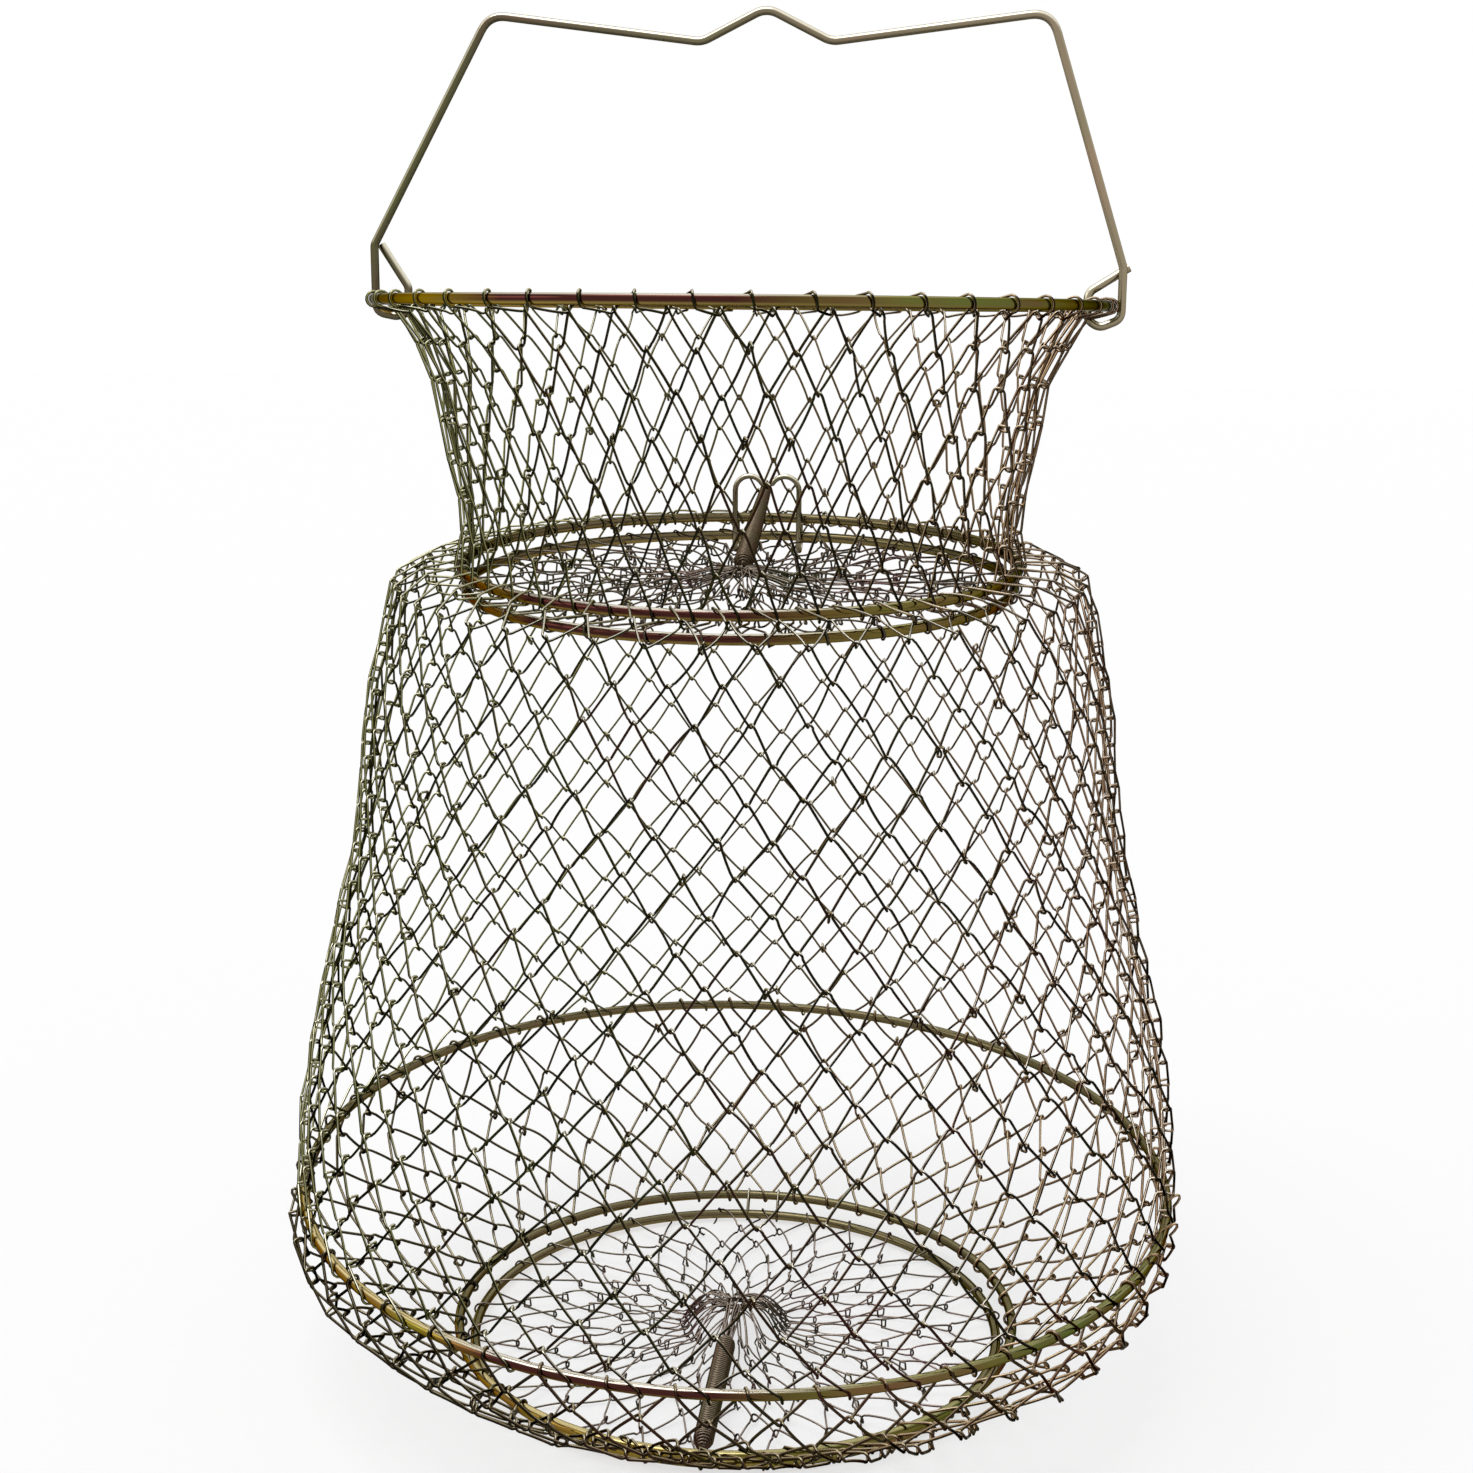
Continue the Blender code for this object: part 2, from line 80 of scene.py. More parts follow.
# A hook of the net: half its width and the share of a panel's cell that it may fill, how far it
# passes in and out of the wall, how far it reaches past the joint where it is tight, and its bend
HOOK_HALF_WIDTH = 0.00042
HOOK_CELL_SHARE = 0.28
HOOK_SIDE = 0.00165
HOOK_REACH = 0.00044
HOOK_BEND = 0.0019
HOOK_BEND_STEPS = 4

# A loose hook: how much further it reaches, how much of that its legs take and how much it leans.
# The share of loose hooks in a row is one of four.
LOOSE_LEAST = 0.0003
LOOSE_MOST = 0.0011
LOOSE_LEG = 1.3
LOOSE_LEAN = 0.35
LOOSE_SHARES = (0.08, 0.08, 0.12, 0.45)

# A hook round a ring: half its width, and where it starts and how far each step turns, in degrees
RING_HOOK_HALF_WIDTH = 0.0008
RING_HOOK_START = 190
RING_HOOK_TURN = 25
RING_HOOK_STEPS = 8

# How far chance moves a joint along its row, down the wall and out of it. How far it stretches a
# hook of the net and one round a ring, and at most how many times that.
SHIFT_SPREAD = 0.00048
SLIP_SPREAD = 0.00035
LIFT_SPREAD = 0.0004
HOOK_PLAY = 0.00005
RING_HOOK_PLAY = 0.00015
PLAY_MOST = 3.0

# How uneven the net is everywhere, and how much more on its slack side and towards its lower rows
UNEVEN_LEAST = 0.55
UNEVEN_SIDE = 0.55
UNEVEN_LOW = 0.45
SLACK_SIDE = radians(345)

# A wire between two hooks: how much chance bows it, and the length from which it has more points
STRUT_BOW = 0.00028
LONG_STRUT = 0.0145

# How loose the net of each wall is, then the joints and the wires of each panel
WALL_LOOSENESS = 1.0
BASE_LOOSENESS = 1.2
LID_LOOSENESS, LID_SLACK = 1.9, 3.4
DOOR_LOOSENESS, DOOR_SLACK = 1.8, 3.0

# Where the first hook of each sits, as a share of a cell, and how much each row turns it
NECK_TURN = (0.52, -0.030)
BODY_TURN = (0.62, -0.029)
BASE_TURN = (0.48, 0.0)
PANEL_TURN = (0.0, 0.02)

# How tall the first and the last row of each wall are, as a share of the others
NECK_END_ROWS = (0.66, 0.90)
BODY_END_ROWS = (1.15, 0.62)
BASE_END_ROWS = (0.85, 0.85)

# The soft walls let the rings lean: how much higher each stands in front than at the back, and
# the widest one on the left
RIM_TIP = radians(2.0)
NECK_TIP = radians(-2.0)
LID_TIP = radians(-2.3)
MID_TIP = radians(-2.3)
MID_SIDE_TIP = radians(1.0)

# Wire of each wall, from its first row to its last
NECK_WIRES = (0.00093, 0.00093)
BODY_WIRES = (0.00086, 0.00100)
BASE_WIRES = (0.00110, 0.00110)
PANEL_WIRES = (PANEL_WIRE, 0.00062)

# Some top hooks of the base net stick out of the wall on both sides: at most this much, at least
# this share of it, and with this rise and fullness
STICK_OUT = 0.0052
STICK_LEAST = 0.45
STICK_RISE = 0.5
STICK_FULLNESS = 0.7
STICK_SIDES = (radians(353), radians(193))
STICK_REACH = radians(20)

# Outlines of the walls between their rings: radius and level
NECK_LINE = (
    (0.1240, 0.3990), (0.1196, 0.3962), (0.1157, 0.3890), (0.1114, 0.3810), (0.1083, 0.3726),
    (0.1070, 0.3640), (0.1051, 0.3510), (0.1029, 0.3430), (0.1009, 0.3340), (0.0997, 0.3250),
    (0.0995, 0.3190),
)
BODY_LINE = (
    (0.1215, 0.3060), (0.1262, 0.2985), (0.1286, 0.2860), (0.1331, 0.2690), (0.1362, 0.2510),
    (0.1379, 0.2335), (0.1398, 0.2156), (0.1413, 0.2070), (0.1434, 0.1975), (0.1478, 0.1800),
    (0.1517, 0.1620), (0.1555, 0.1440), (0.1599, 0.1250), (0.1630, 0.1070), (0.1645, 0.0980),
)
BASE_LINE = (
    (0.1662, 0.0610), (0.1640, 0.0530), (0.1560, 0.0415), (0.1422, 0.0298), (0.1268, 0.0200),
    (0.1150, 0.0135),
)

# Where the slack base hangs out further: on the right, and in a narrow place high on the left
BASE_SWELL = 0.0030
BASE_SWELL_SIDE = radians(338)
LEFT_SWELL = 0.0055
LEFT_SWELL_SIDE = radians(196)
LEFT_SWELL_NARROWNESS = 8
LEFT_SWELL_HEIGHT = 2.2

# Lid and door: the gathered centre, and the arch of slack net round it
GATHER_RADIUS = 0.0042
GATHER_START = 0.0195
PANEL_FIRST_ROW = 0.0165
LID_RISE = 0.0038
LID_ARCH = 0.0004
LID_ARCH_FRONT = 1.0
DOOR_RISE = 0.0092
DOOR_ARCH = 0.0056
DOOR_ARCH_FRONT = 0.10
ARCH_MARGIN = 0.0015
AXIS_CLEAR = 0.003

# Bail
BAIL_HEIGHT = 0.0987
BAIL_HALF_WIDTH = 0.098
BAIL_SWAY = 0.008
BAIL_DIP = 0.0094
BAIL_PEAK_RISE = 0.0019
BAIL_PEAK_HALF_WIDTH = 0.0226
BAIL_BEND = 0.009
BAIL_BEND_STEPS = 8
EYE_DEPTH_RIGHT = 0.0074
EYE_DEPTH_LEFT = 0.0058
EYE_INNER_INSET = 0.0078
EYE_INNER_TOP = 0.0046
EYE_INNER_LOW = 0.0048
EYE_LOWEST_INSET = 0.0034
EYE_OUTER_LOW = 0.0044
EYE_BOTTOM_MARGIN = 0.001
EYE_TAIL_REACH_RIGHT = 0.0062
EYE_TAIL_REACH_LEFT = 0.0024
EYE_TWIST = 0.0018
EYE_BEND = 0.0042
EYE_BEND_STEPS = 6
EYE_KNEE_RIGHT = 0.0133
EYE_KNEE_LEFT = 0.0195
EYE_CLEAR = 0.00055
EYE_PLAY = 0.00085

# Lid spring bracket
BRACKET_HALF_WIDTH = 0.013
BRACKET_LOOP_RADIUS = 0.0058
BRACKET_DIP = 0.0006
BRACKET_TURN_STEPS = 8
BRACKET_LOOP_STEPS = 10
BRACKET_LOOP_TURN = radians(15)

# Springs: width, straight lead at the start and how much the coil narrows. Then where its curls
# start and how they open, and how it widens from its ends.
LID_SPRING_OUTER = 0.0074
LID_SPRING_LEAD = 0.0016
LID_SPRING_NARROWING = 0.55
DOOR_SPRING_OUTER = 0.0076
DOOR_SPRING_LEAD = 0.024
DOOR_SPRING_NARROWING = 0.0
COIL_START = 0.0015
COIL_PITCH = 0.00125
COIL_OPENING = 0.16
COIL_NARROWS_FROM = 0.25
COIL_HEAD_WIDTH, COIL_HEAD_GROWTH = 0.55, 12.0
COIL_TAIL_WIDTH, COIL_TAIL_GROWTH = 0.35, 9.0
POINTS_PER_CURL = 10
START_EYE_ANGLES = range(320, 45, -25)
END_EYE_ANGLES = range(40, 325, 25)

# The bundle of slack wires at the head of the door's spring
STRANDS = 7
STRAND_SPREAD = 0.0021
STRAND_FLARE = 1.5
STRAND_CLOSING = 0.8
STRAND_LENGTH = 0.030
STRAND_OVERLAP = 0.0015
STRAND_TWIST = 1.3
STRAND_WAVE = 0.25
STRAND_WAVES = 5
STRAND_STEPS = 12

# Steps of each half turn of a hinge loop
HINGE_TURN_STEPS = 12


def ring_place(node):
    """Centre radius and level of a ring in the frame."""
    low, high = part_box(node)
    return (high.x - low.x - RING_WIRE) / 2, (low.z + high.z) / 2


RIM_RADIUS, RIM_Z = ring_place("rim_ring")
NECK_RADIUS, NECK_Z = ring_place("neck_ring")
MID_RADIUS, MID_Z = ring_place("mid_ring")
BOTTOM_RADIUS, BOTTOM_Z = ring_place("bottom_ring")
LID_RADIUS, LID_Z = ring_place("lid_ring")
DOOR_RADIUS, DOOR_Z = ring_place("door_ring")
CHANCE = Random(46)

# How each ring sits: the body that it moves with, its level and its lean
Seat = namedtuple("Seat", "body z tip side_tip")
RIM_SEAT = Seat("rim", RIM_Z, RIM_TIP, 0.0)
NECK_SEAT = Seat("neck", NECK_Z, NECK_TIP, 0.0)
MID_SEAT = Seat("mid", MID_Z, MID_TIP, MID_SIDE_TIP)
BOTTOM_SEAT = Seat("base", BOTTOM_Z, 0.0, 0.0)
LID_SEAT = Seat("lid", LID_Z, LID_TIP, 0.0)
DOOR_SEAT = Seat("door", DOOR_Z, 0.0, 0.0)


# Materials

# Stretches of an axis over which a tone changes: from left to right, towards the front, and into
# the middle of the front. The last two place the rings' painted highlight and painted dark reflection.
LEFT_TO_RIGHT = ("X", -0.10, 0.12)
TO_THE_FRONT = ("Y", -0.03, -0.08)
FRONT_MIDDLE = (("Z", 0.03, 0.05), ("X", -0.092, -0.062), ("X", 0.060, 0.012))

# Dull spots and drawing marks of the wire, and the tint of its edges seen at a glancing angle
SPOT_SCALE = 260.0
GRAIN_SCALE = 1500.0
GRAIN_DEPTH = 0.00005
GRAZING_TINT = (0.28, 0.27, 0.22)


def new_material(name, roughness):
    """A metal whose colour and roughness are linked later. Returns it with its nodes and links."""
    material = bpy.data.materials.new(name)
    material.use_nodes = True
    nodes, links = material.node_tree.nodes, material.node_tree.links
    shader = nodes["Principled BSDF"]
    shader.inputs["Metallic"].default_value = 1.0
    shader.inputs["Roughness"].default_value = roughness
    return material, nodes, links


def new_group(name, inputs, outputs):
    """A node group with its sockets. Returns it with its nodes, links, and input and output nodes."""
    group = bpy.data.node_groups.new(name, "ShaderNodeTree")
    for way, sockets in (("INPUT", inputs), ("OUTPUT", outputs)):
        for socket, kind in sockets:
            group.interface.new_socket(socket, in_out=way, socket_type=f"NodeSocket{kind}")
    nodes, links = group.nodes, group.links
    return group, nodes, links, nodes.new("NodeGroupInput"), nodes.new("NodeGroupOutput")


def ranged(nodes, links, value, start, end):
    """A node that puts out 0 at the start of a range and 1 at its end."""
    reach = nodes.new("ShaderNodeMapRange")
    reach.inputs["From Min"].default_value = start
    reach.inputs["From Max"].default_value = end
    links.new(value, reach.inputs["Value"])
    return reach


def noise_over(nodes, links, place, detail):
    """A noise node over the surface, whose scale is set by the caller."""
    noise = nodes.new("ShaderNodeTexNoise")
    noise.inputs["Detail"].default_value = detail
    links.new(place, noise.inputs["Vector"])
    return noise


def mask_along(nodes, links, place, axis, start, end):
    """A value from 0 at the start to 1 at the end of a stretch of an axis."""
    split = nodes.new("ShaderNodeSeparateXYZ")
    links.new(place, split.inputs[0])
    return ranged(nodes, links, split.outputs[axis], start, end).outputs["Result"]


def product(nodes, links, *values):
    """The masks multiplied."""
    total = values[0]
    for value in values[1:]:
        times = nodes.new("ShaderNodeMath")
        times.operation = "MULTIPLY"
        links.new(total, times.inputs[0])
        links.new(value, times.inputs[1])
        total = times.outputs[0]
    return total


def mixed(nodes, links, factor, below, above):
    """A colour that goes from one to the other, each a link or a plain colour."""
    mix = nodes.new("ShaderNodeMix")
    mix.data_type = "RGBA"
    links.new(factor, mix.inputs["Factor"])
    for socket, colour in (("A", below), ("B", above)):
        if isinstance(colour, tuple):
            mix.inputs[socket].default_value = (*colour, 1)
        else:
            links.new(colour, mix.inputs[socket])
    return mix.outputs["Result"]


def film_group():
    """The thin yellow passivate: its colour drifts between three tones over the surface."""
    group, nodes, links, given, made = new_group(
        "passivate_film",
        (
            ("Place", "Vector"), ("Main", "Color"), ("Green", "Color"), ("Rose", "Color"),
            ("Patch", "Float"),
        ),
        (("Color", "Color"),),
    )
    colour = given.outputs["Main"]
    for tone, shift, start, full in (("Green", 0.0, 0.46, 0.62), ("Rose", 7.3, 0.52, 0.66)):
        moved = nodes.new("ShaderNodeVectorMath")
        moved.inputs[1].default_value = (shift, shift, shift)
        links.new(given.outputs["Place"], moved.inputs[0])
        noise = noise_over(nodes, links, moved.outputs[0], 3.0)
        links.new(given.outputs["Patch"], noise.inputs["Scale"])
        share = ranged(nodes, links, noise.outputs["Fac"], start, full)
        colour = mixed(nodes, links, share.outputs["Result"], colour, given.outputs[tone])
    links.new(colour, made.inputs["Color"])
    return group


def wear_group():
    """Fine drawing marks and dull spots of the wire: a roughness and a height."""
    group, nodes, links, given, made = new_group(
        "wire_wear",
        (("Place", "Vector"), ("Smooth", "Float"), ("Dull", "Float")),
        (("Roughness", "Float"), ("Height", "Float")),
    )
    spots = noise_over(nodes, links, given.outputs["Place"], 4.0)
    spots.inputs["Scale"].default_value = SPOT_SCALE
    roughness = ranged(nodes, links, spots.outputs["Fac"], 0.35, 0.70)
    links.new(given.outputs["Smooth"], roughness.inputs["To Min"])
    links.new(given.outputs["Dull"], roughness.inputs["To Max"])
    grain = noise_over(nodes, links, given.outputs["Place"], 2.0)
    grain.inputs["Scale"].default_value = GRAIN_SCALE
    links.new(roughness.outputs["Result"], made.inputs["Roughness"])
    links.new(grain.outputs["Fac"], made.inputs["Height"])
    return group


def painted_light_group():
    """Masks for painted highlight, underside tone and reflections, each 0 to 1: up, down, out of the
    basket, along its wall.
    """
    group, nodes, links, given, made = new_group(
        "painted_light_sides",
        (("Place", "Vector"), ("Normal", "Vector"), ("Up Start", "Float"), ("Up End", "Float")),
        (("Up", "Float"), ("Down", "Float"), ("Out", "Float"), ("Side", "Float")),
    )
    split = nodes.new("ShaderNodeSeparateXYZ")
    links.new(given.outputs["Normal"], split.inputs[0])
    level = nodes.new("ShaderNodeVectorMath")
    level.operation = "MULTIPLY"
    level.inputs[1].default_value = (1, 1, 0)
    links.new(given.outputs["Place"], level.inputs[0])
    outward = nodes.new("ShaderNodeVectorMath")
    outward.operation = "NORMALIZE"
    links.new(level.outputs[0], outward.inputs[0])
    along = nodes.new("ShaderNodeVectorMath")
    along.operation = "DOT_PRODUCT"
    links.new(outward.outputs[0], along.inputs[0])
    links.new(given.outputs["Normal"], along.inputs[1])
    inout = nodes.new("ShaderNodeMath")
    inout.operation = "ABSOLUTE"
    links.new(along.outputs["Value"], inout.inputs[0])
    masks = {
        "Up": ranged(nodes, links, split.outputs["Z"], 0, 1),
        "Down": ranged(nodes, links, split.outputs["Z"], -0.15, -0.65),
        "Out": ranged(nodes, links, along.outputs["Value"], -0.35, 0.35),
        "Side": ranged(nodes, links, inout.outputs["Value"], 0.54, 0.34),
    }
    links.new(given.outputs["Up Start"], masks["Up"].inputs["From Min"])
    links.new(given.outputs["Up End"], masks["Up"].inputs["From Max"])
    for name, mask in masks.items():
        mask.interpolation_type = "SMOOTHSTEP"
        links.new(mask.outputs["Result"], made.inputs[name])
    return group


FILM = film_group()
WEAR = wear_group()
PAINTED_LIGHT_MASKS = painted_light_group()


def film_tones(nodes, links, place, trio, patch):
    """One film with its main, green and rose tones."""
    film = nodes.new("ShaderNodeGroup")
    film.node_tree = FILM
    for socket, tone in zip(("Main", "Green", "Rose"), trio):
        film.inputs[socket].default_value = (*tone, 1)
    film.inputs["Patch"].default_value = patch
    links.new(place, film.inputs["Place"])
    return film.outputs["Color"]


def zinc(name, tones, top, under, up, patch, smooth, dull, bump, inner=None, side=None, front=None):
    """Yellow zinc plated steel with painted light: the tones change from left to right, and with where
    the wire faces.

    Each pair of tones is one for the left and one for the right: the film; top, a painted highlight on
    the upper side; under, a painted tone on the lower side; and where given inner, a painted reflection
    on the side turned into the basket, and side, a painted reflection on the sides along the wall.
    front is the painted dark reflection in the middle of the front, then the painted highlight of the
    upper side at the back and in the front's middle.
    """
    material, nodes, links = new_material(name, smooth)
    shader = nodes["Principled BSDF"]
    shader.inputs["Specular Tint"].default_value = (*GRAZING_TINT, 1)
    source = nodes.new("ShaderNodeTexCoord")
    place = source.outputs["Object"]
    rightness = mask_along(nodes, links, place, *LEFT_TO_RIGHT)
    films = [film_tones(nodes, links, place, trio, patch) for trio in tones]
    colour = mixed(nodes, links, rightness, *films)
    painted_light = nodes.new("ShaderNodeGroup")
    painted_light.node_tree = PAINTED_LIGHT_MASKS
    painted_light.inputs["Up Start"].default_value, painted_light.inputs["Up End"].default_value = up
    links.new(place, painted_light.inputs["Place"])
    links.new(source.outputs["Normal"], painted_light.inputs["Normal"])
    # Painted highlight on the upper side
    upper = mixed(nodes, links, rightness, *top)
    # Painted reflections: one on the side turned into the basket, another on the sides along the wall
    if inner:
        painted_inner = mixed(nodes, links, rightness, *inner)
        colour = mixed(nodes, links, painted_light.outputs["Out"], painted_inner, colour)
        along = mixed(nodes, links, rightness, *side)
        colour = mixed(nodes, links, painted_light.outputs["Side"], colour, along)
    # A painted dark reflection in the middle of the front, and the painted highlight dimmer at the back
    # and brightest there
    if front:
        near = mask_along(nodes, links, place, *TO_THE_FRONT)
        stretches = (mask_along(nodes, links, place, *stretch) for stretch in FRONT_MIDDLE)
        middle = product(nodes, links, near, *stretches)
        colour = mixed(nodes, links, middle, colour, front[0])
        upper = mixed(nodes, links, near, front[1], upper)
        upper = mixed(nodes, links, middle, upper, front[2])
    # Painted tone on the lower side, then the painted underside tone and painted highlight laid over the
    # rest
    lower = mixed(nodes, links, rightness, *under)
    colour = mixed(nodes, links, painted_light.outputs["Down"], colour, lower)
    colour = mixed(nodes, links, painted_light.outputs["Up"], colour, upper)
    links.new(colour, shader.inputs["Base Color"])
    wear = nodes.new("ShaderNodeGroup")
    wear.node_tree = WEAR
    wear.inputs["Smooth"].default_value = smooth
    wear.inputs["Dull"].default_value = dull
    links.new(place, wear.inputs["Place"])
    links.new(wear.outputs["Roughness"], shader.inputs["Roughness"])
    relief = nodes.new("ShaderNodeBump")
    relief.inputs["Strength"].default_value = bump
    relief.inputs["Distance"].default_value = GRAIN_DEPTH
    links.new(wear.outputs["Height"], relief.inputs["Height"])
    links.new(relief.outputs["Normal"], shader.inputs["Normal"])
    return material


# The net's near-black film tones stand for the reflection of a dark surround on its outer side; inner
# and side are painted reflections, top a painted highlight and under painted shade.
NET = zinc(
    "net_painted_light_zinc",
    tones=(
        ((0.010, 0.010, 0.006), (0.017, 0.022, 0.006), (0.019, 0.010, 0.006)),
        ((0.010, 0.008, 0.006), (0.012, 0.012, 0.005), (0.032, 0.009, 0.009)),
    ),
    inner=((0.066, 0.068, 0.026), (0.094, 0.052, 0.029)),
    side=((0.250, 0.245, 0.105), (0.300, 0.195, 0.115)),
    top=((0.80, 0.76, 0.60), (0.78, 0.72, 0.60)),
    under=((0.022, 0.020, 0.009), (0.024, 0.018, 0.010)),
    up=(0.52, 0.90), patch=24.0, smooth=0.16, dull=0.30, bump=0.25,
)
# As on the net: the dark film tones of the outer side stand for the reflection of a dark surround; inner
# and side are painted reflections, top a painted highlight and under painted shade.
BASE_NET = zinc(
    "base_net_painted_light_zinc",
    tones=(
        ((0.007, 0.006, 0.004), (0.010, 0.011, 0.005), (0.018, 0.008, 0.006)),
        ((0.034, 0.023, 0.013), (0.036, 0.030, 0.013), (0.060, 0.024, 0.017)),
    ),
    inner=((0.036, 0.029, 0.015), (0.110, 0.068, 0.038)),
    side=((0.085, 0.068, 0.036), (0.290, 0.180, 0.100)),
    top=((0.50, 0.44, 0.30), (0.66, 0.54, 0.36)),
    under=((0.016, 0.013, 0.007), (0.042, 0.029, 0.017)),
    up=(0.60, 0.95), patch=24.0, smooth=0.18, dull=0.34, bump=0.25,
)
# top is a painted highlight and under painted shade.
PANEL_NET = zinc(
    "panel_net_painted_light_zinc",
    tones=(
        ((0.060, 0.052, 0.036), (0.052, 0.056, 0.028), (0.084, 0.050, 0.040)),
        ((0.064, 0.048, 0.040), (0.056, 0.052, 0.032), (0.098, 0.046, 0.052)),
    ),
    top=((0.42, 0.36, 0.29), (0.50, 0.39, 0.34)),
    under=((0.036, 0.030, 0.022), (0.040, 0.029, 0.024)),
    up=(0.55, 0.96), patch=30.0, smooth=0.16, dull=0.30, bump=0.25,
)
# top is a painted highlight, under a golden painted reflection, inner and side painted reflections;
# front holds a painted dark reflection and the painted highlights at the back and in the front's middle.
RING = zinc(
    "ring_painted_light_zinc",
    tones=(
        ((0.250, 0.155, 0.020), (0.215, 0.170, 0.024), (0.230, 0.080, 0.030)),
        ((0.110, 0.100, 0.028), (0.090, 0.112, 0.028), (0.120, 0.060, 0.036)),
    ),
    inner=((0.130, 0.098, 0.050), (0.110, 0.092, 0.042)),
    side=((0.17, 0.135, 0.045), (0.12, 0.12, 0.045)),
    top=((0.84, 0.68, 0.34), (0.34, 0.34, 0.15)),
    under=((0.280, 0.190, 0.050), (0.120, 0.100, 0.035)),
    up=(0.64, 0.94), patch=13.0, smooth=0.12, dull=0.22, bump=0.04,
    front=((0.052, 0.016, 0.013), (0.25, 0.22, 0.125), (0.98, 0.90, 0.76)),
)
# top is a painted highlight, widened to reach the leaning arms, and under painted shade.
BAIL = zinc(
    "bail_painted_light_zinc",
    tones=(
        ((0.092, 0.082, 0.046), (0.098, 0.098, 0.044), (0.118, 0.078, 0.050)),
        ((0.280, 0.225, 0.150), (0.260, 0.225, 0.135), (0.340, 0.225, 0.150)),
    ),
    top=((0.86, 0.80, 0.62), (0.92, 0.85, 0.68)),
    under=((0.070, 0.062, 0.036), (0.150, 0.125, 0.080)),
    up=(0.15, 0.60), patch=14.0, smooth=0.14, dull=0.26, bump=0.1,
)
# top is a painted highlight across the curls and under painted shade.
COIL = zinc(
    "coil_painted_light_zinc",
    tones=(
        ((0.082, 0.056, 0.033), (0.070, 0.060, 0.030), (0.094, 0.052, 0.036)),
        ((0.082, 0.056, 0.036), (0.070, 0.060, 0.032), (0.094, 0.052, 0.040)),
    ),
    top=((0.30, 0.24, 0.18), (0.30, 0.24, 0.18)),
    under=((0.018, 0.013, 0.010), (0.018, 0.013, 0.010)),
    up=(0.50, 0.98), patch=40.0, smooth=0.22, dull=0.36, bump=0.2,
)


# Wire working

def deselect():
    bpy.ops.object.select_all(action="DESELECT")


def bent_wire(name, points, thickness, material, closed=False, sides=6):
    """A round wire along points: a circle whose corners go to the points, given a round section."""
    deselect()
    bpy.ops.mesh.primitive_circle_add(vertices=len(points), radius=RING_WIRE)
    wire = bpy.context.object
    wire.name = name
    for corner, point in zip(wire.data.vertices, points):
        corner.co = point
    if not closed:
        open_circle(wire)
    bpy.ops.object.convert(target="CURVE")
    wire.data.bevel_depth = thickness / 2
    # A round section has four sides, and two more for each step of resolution
    wire.data.bevel_resolution = (sides - 4) // 2
    wire.data.use_fill_caps = not closed
    bpy.ops.object.convert(target="MESH")
    bpy.ops.object.shade_smooth()
    wire.data.materials.clear()
    wire.data.materials.append(material)
    return wire


def open_circle(wire):
    """Cut the edge between the last corner and the first."""
    last = len(wire.data.vertices) - 1
    bpy.ops.object.mode_set(mode="EDIT")
    bpy.ops.mesh.select_mode(type="EDGE")
    bpy.ops.mesh.select_all(action="DESELECT")
    bpy.ops.object.mode_set(mode="OBJECT")
    for edge in wire.data.edges:
        edge.select = set(edge.vertices) == {0, last}
    bpy.ops.object.mode_set(mode="EDIT")
    bpy.ops.mesh.delete(type="EDGE")
    bpy.ops.object.mode_set(mode="OBJECT")


def rounded(points, radius, steps):
    """The points with each corner drawn round by an arc-like curve."""
    count = len(points)
    run = []
    for i in range(count):
        if i in (0, count - 1):
            run.append(points[i])
            continue
        before, corner, after = points[i - 1 : i + 2]
        back, ahead = before - corner, after - corner
        half = back.angle(ahead) / 2
        reach = min(radius * cos(half) / sin(half), 0.45 * back.length, 0.45 * ahead.length)
        start, end = corner + back.normalized() * reach, corner + ahead.normalized() * reach
        for step in range(steps + 1):
            share = step / steps
            run.append(
                start * (1 - share) ** 2 + corner * 2 * share * (1 - share) + end * share**2
            )
    return run


# The net

# A place where two rows hook together: where it is, the way down the wall and out of it, how far
# each hook reaches past the middle, and how far it sticks out of the wall
Joint = namedtuple("Joint", "spot angle down out reach stick")


def polar(radius, angle, z):
    """A point at a radius, an angle and a level."""
    return Vector((radius * cos(angle), radius * sin(angle), z))


def leaned(point, tip, side_tip=0.0):
    """A point of a level ring or wall, moved to where the lean puts it."""
    return Vector((point.x, point.y, point.z - point.y * tan(tip) - point.x * tan(side_tip)))


def lean_at(share, low, high):
    """The lean at this share of the way from the lower ring to the upper one."""
    tip = low.tip + (high.tip - low.tip) * share
    side_tip = low.side_tip + (high.side_tip - low.side_tip) * share
    return tip, side_tip


def between(point, low, high):
    """A point of a wall between two rings that lean: the lean changes evenly from one to the other."""
    share = (point.z - low.z) / (high.z - low.z)
    return leaned(point, *lean_at(share, low, high))


def smooth_line(line, steps=8):
    """An outline with a smooth curve through its points."""
    run = []
    for i in range(len(line) - 1):
        before, start = line[max(i - 1, 0)], line[i]
        end, after = line[i + 1], line[min(i + 2, len(line) - 1)]
        for step in range(steps):
            share = step / steps
            run.append(
                start
                + (end - before) * (share / 2)
                + (before * 2 - start * 5 + end * 4 - after) * (share**2 / 2)
                + (start * 3 - before - end * 3 + after) * (share**3 / 2)
            )
    return run + [line[-1]]


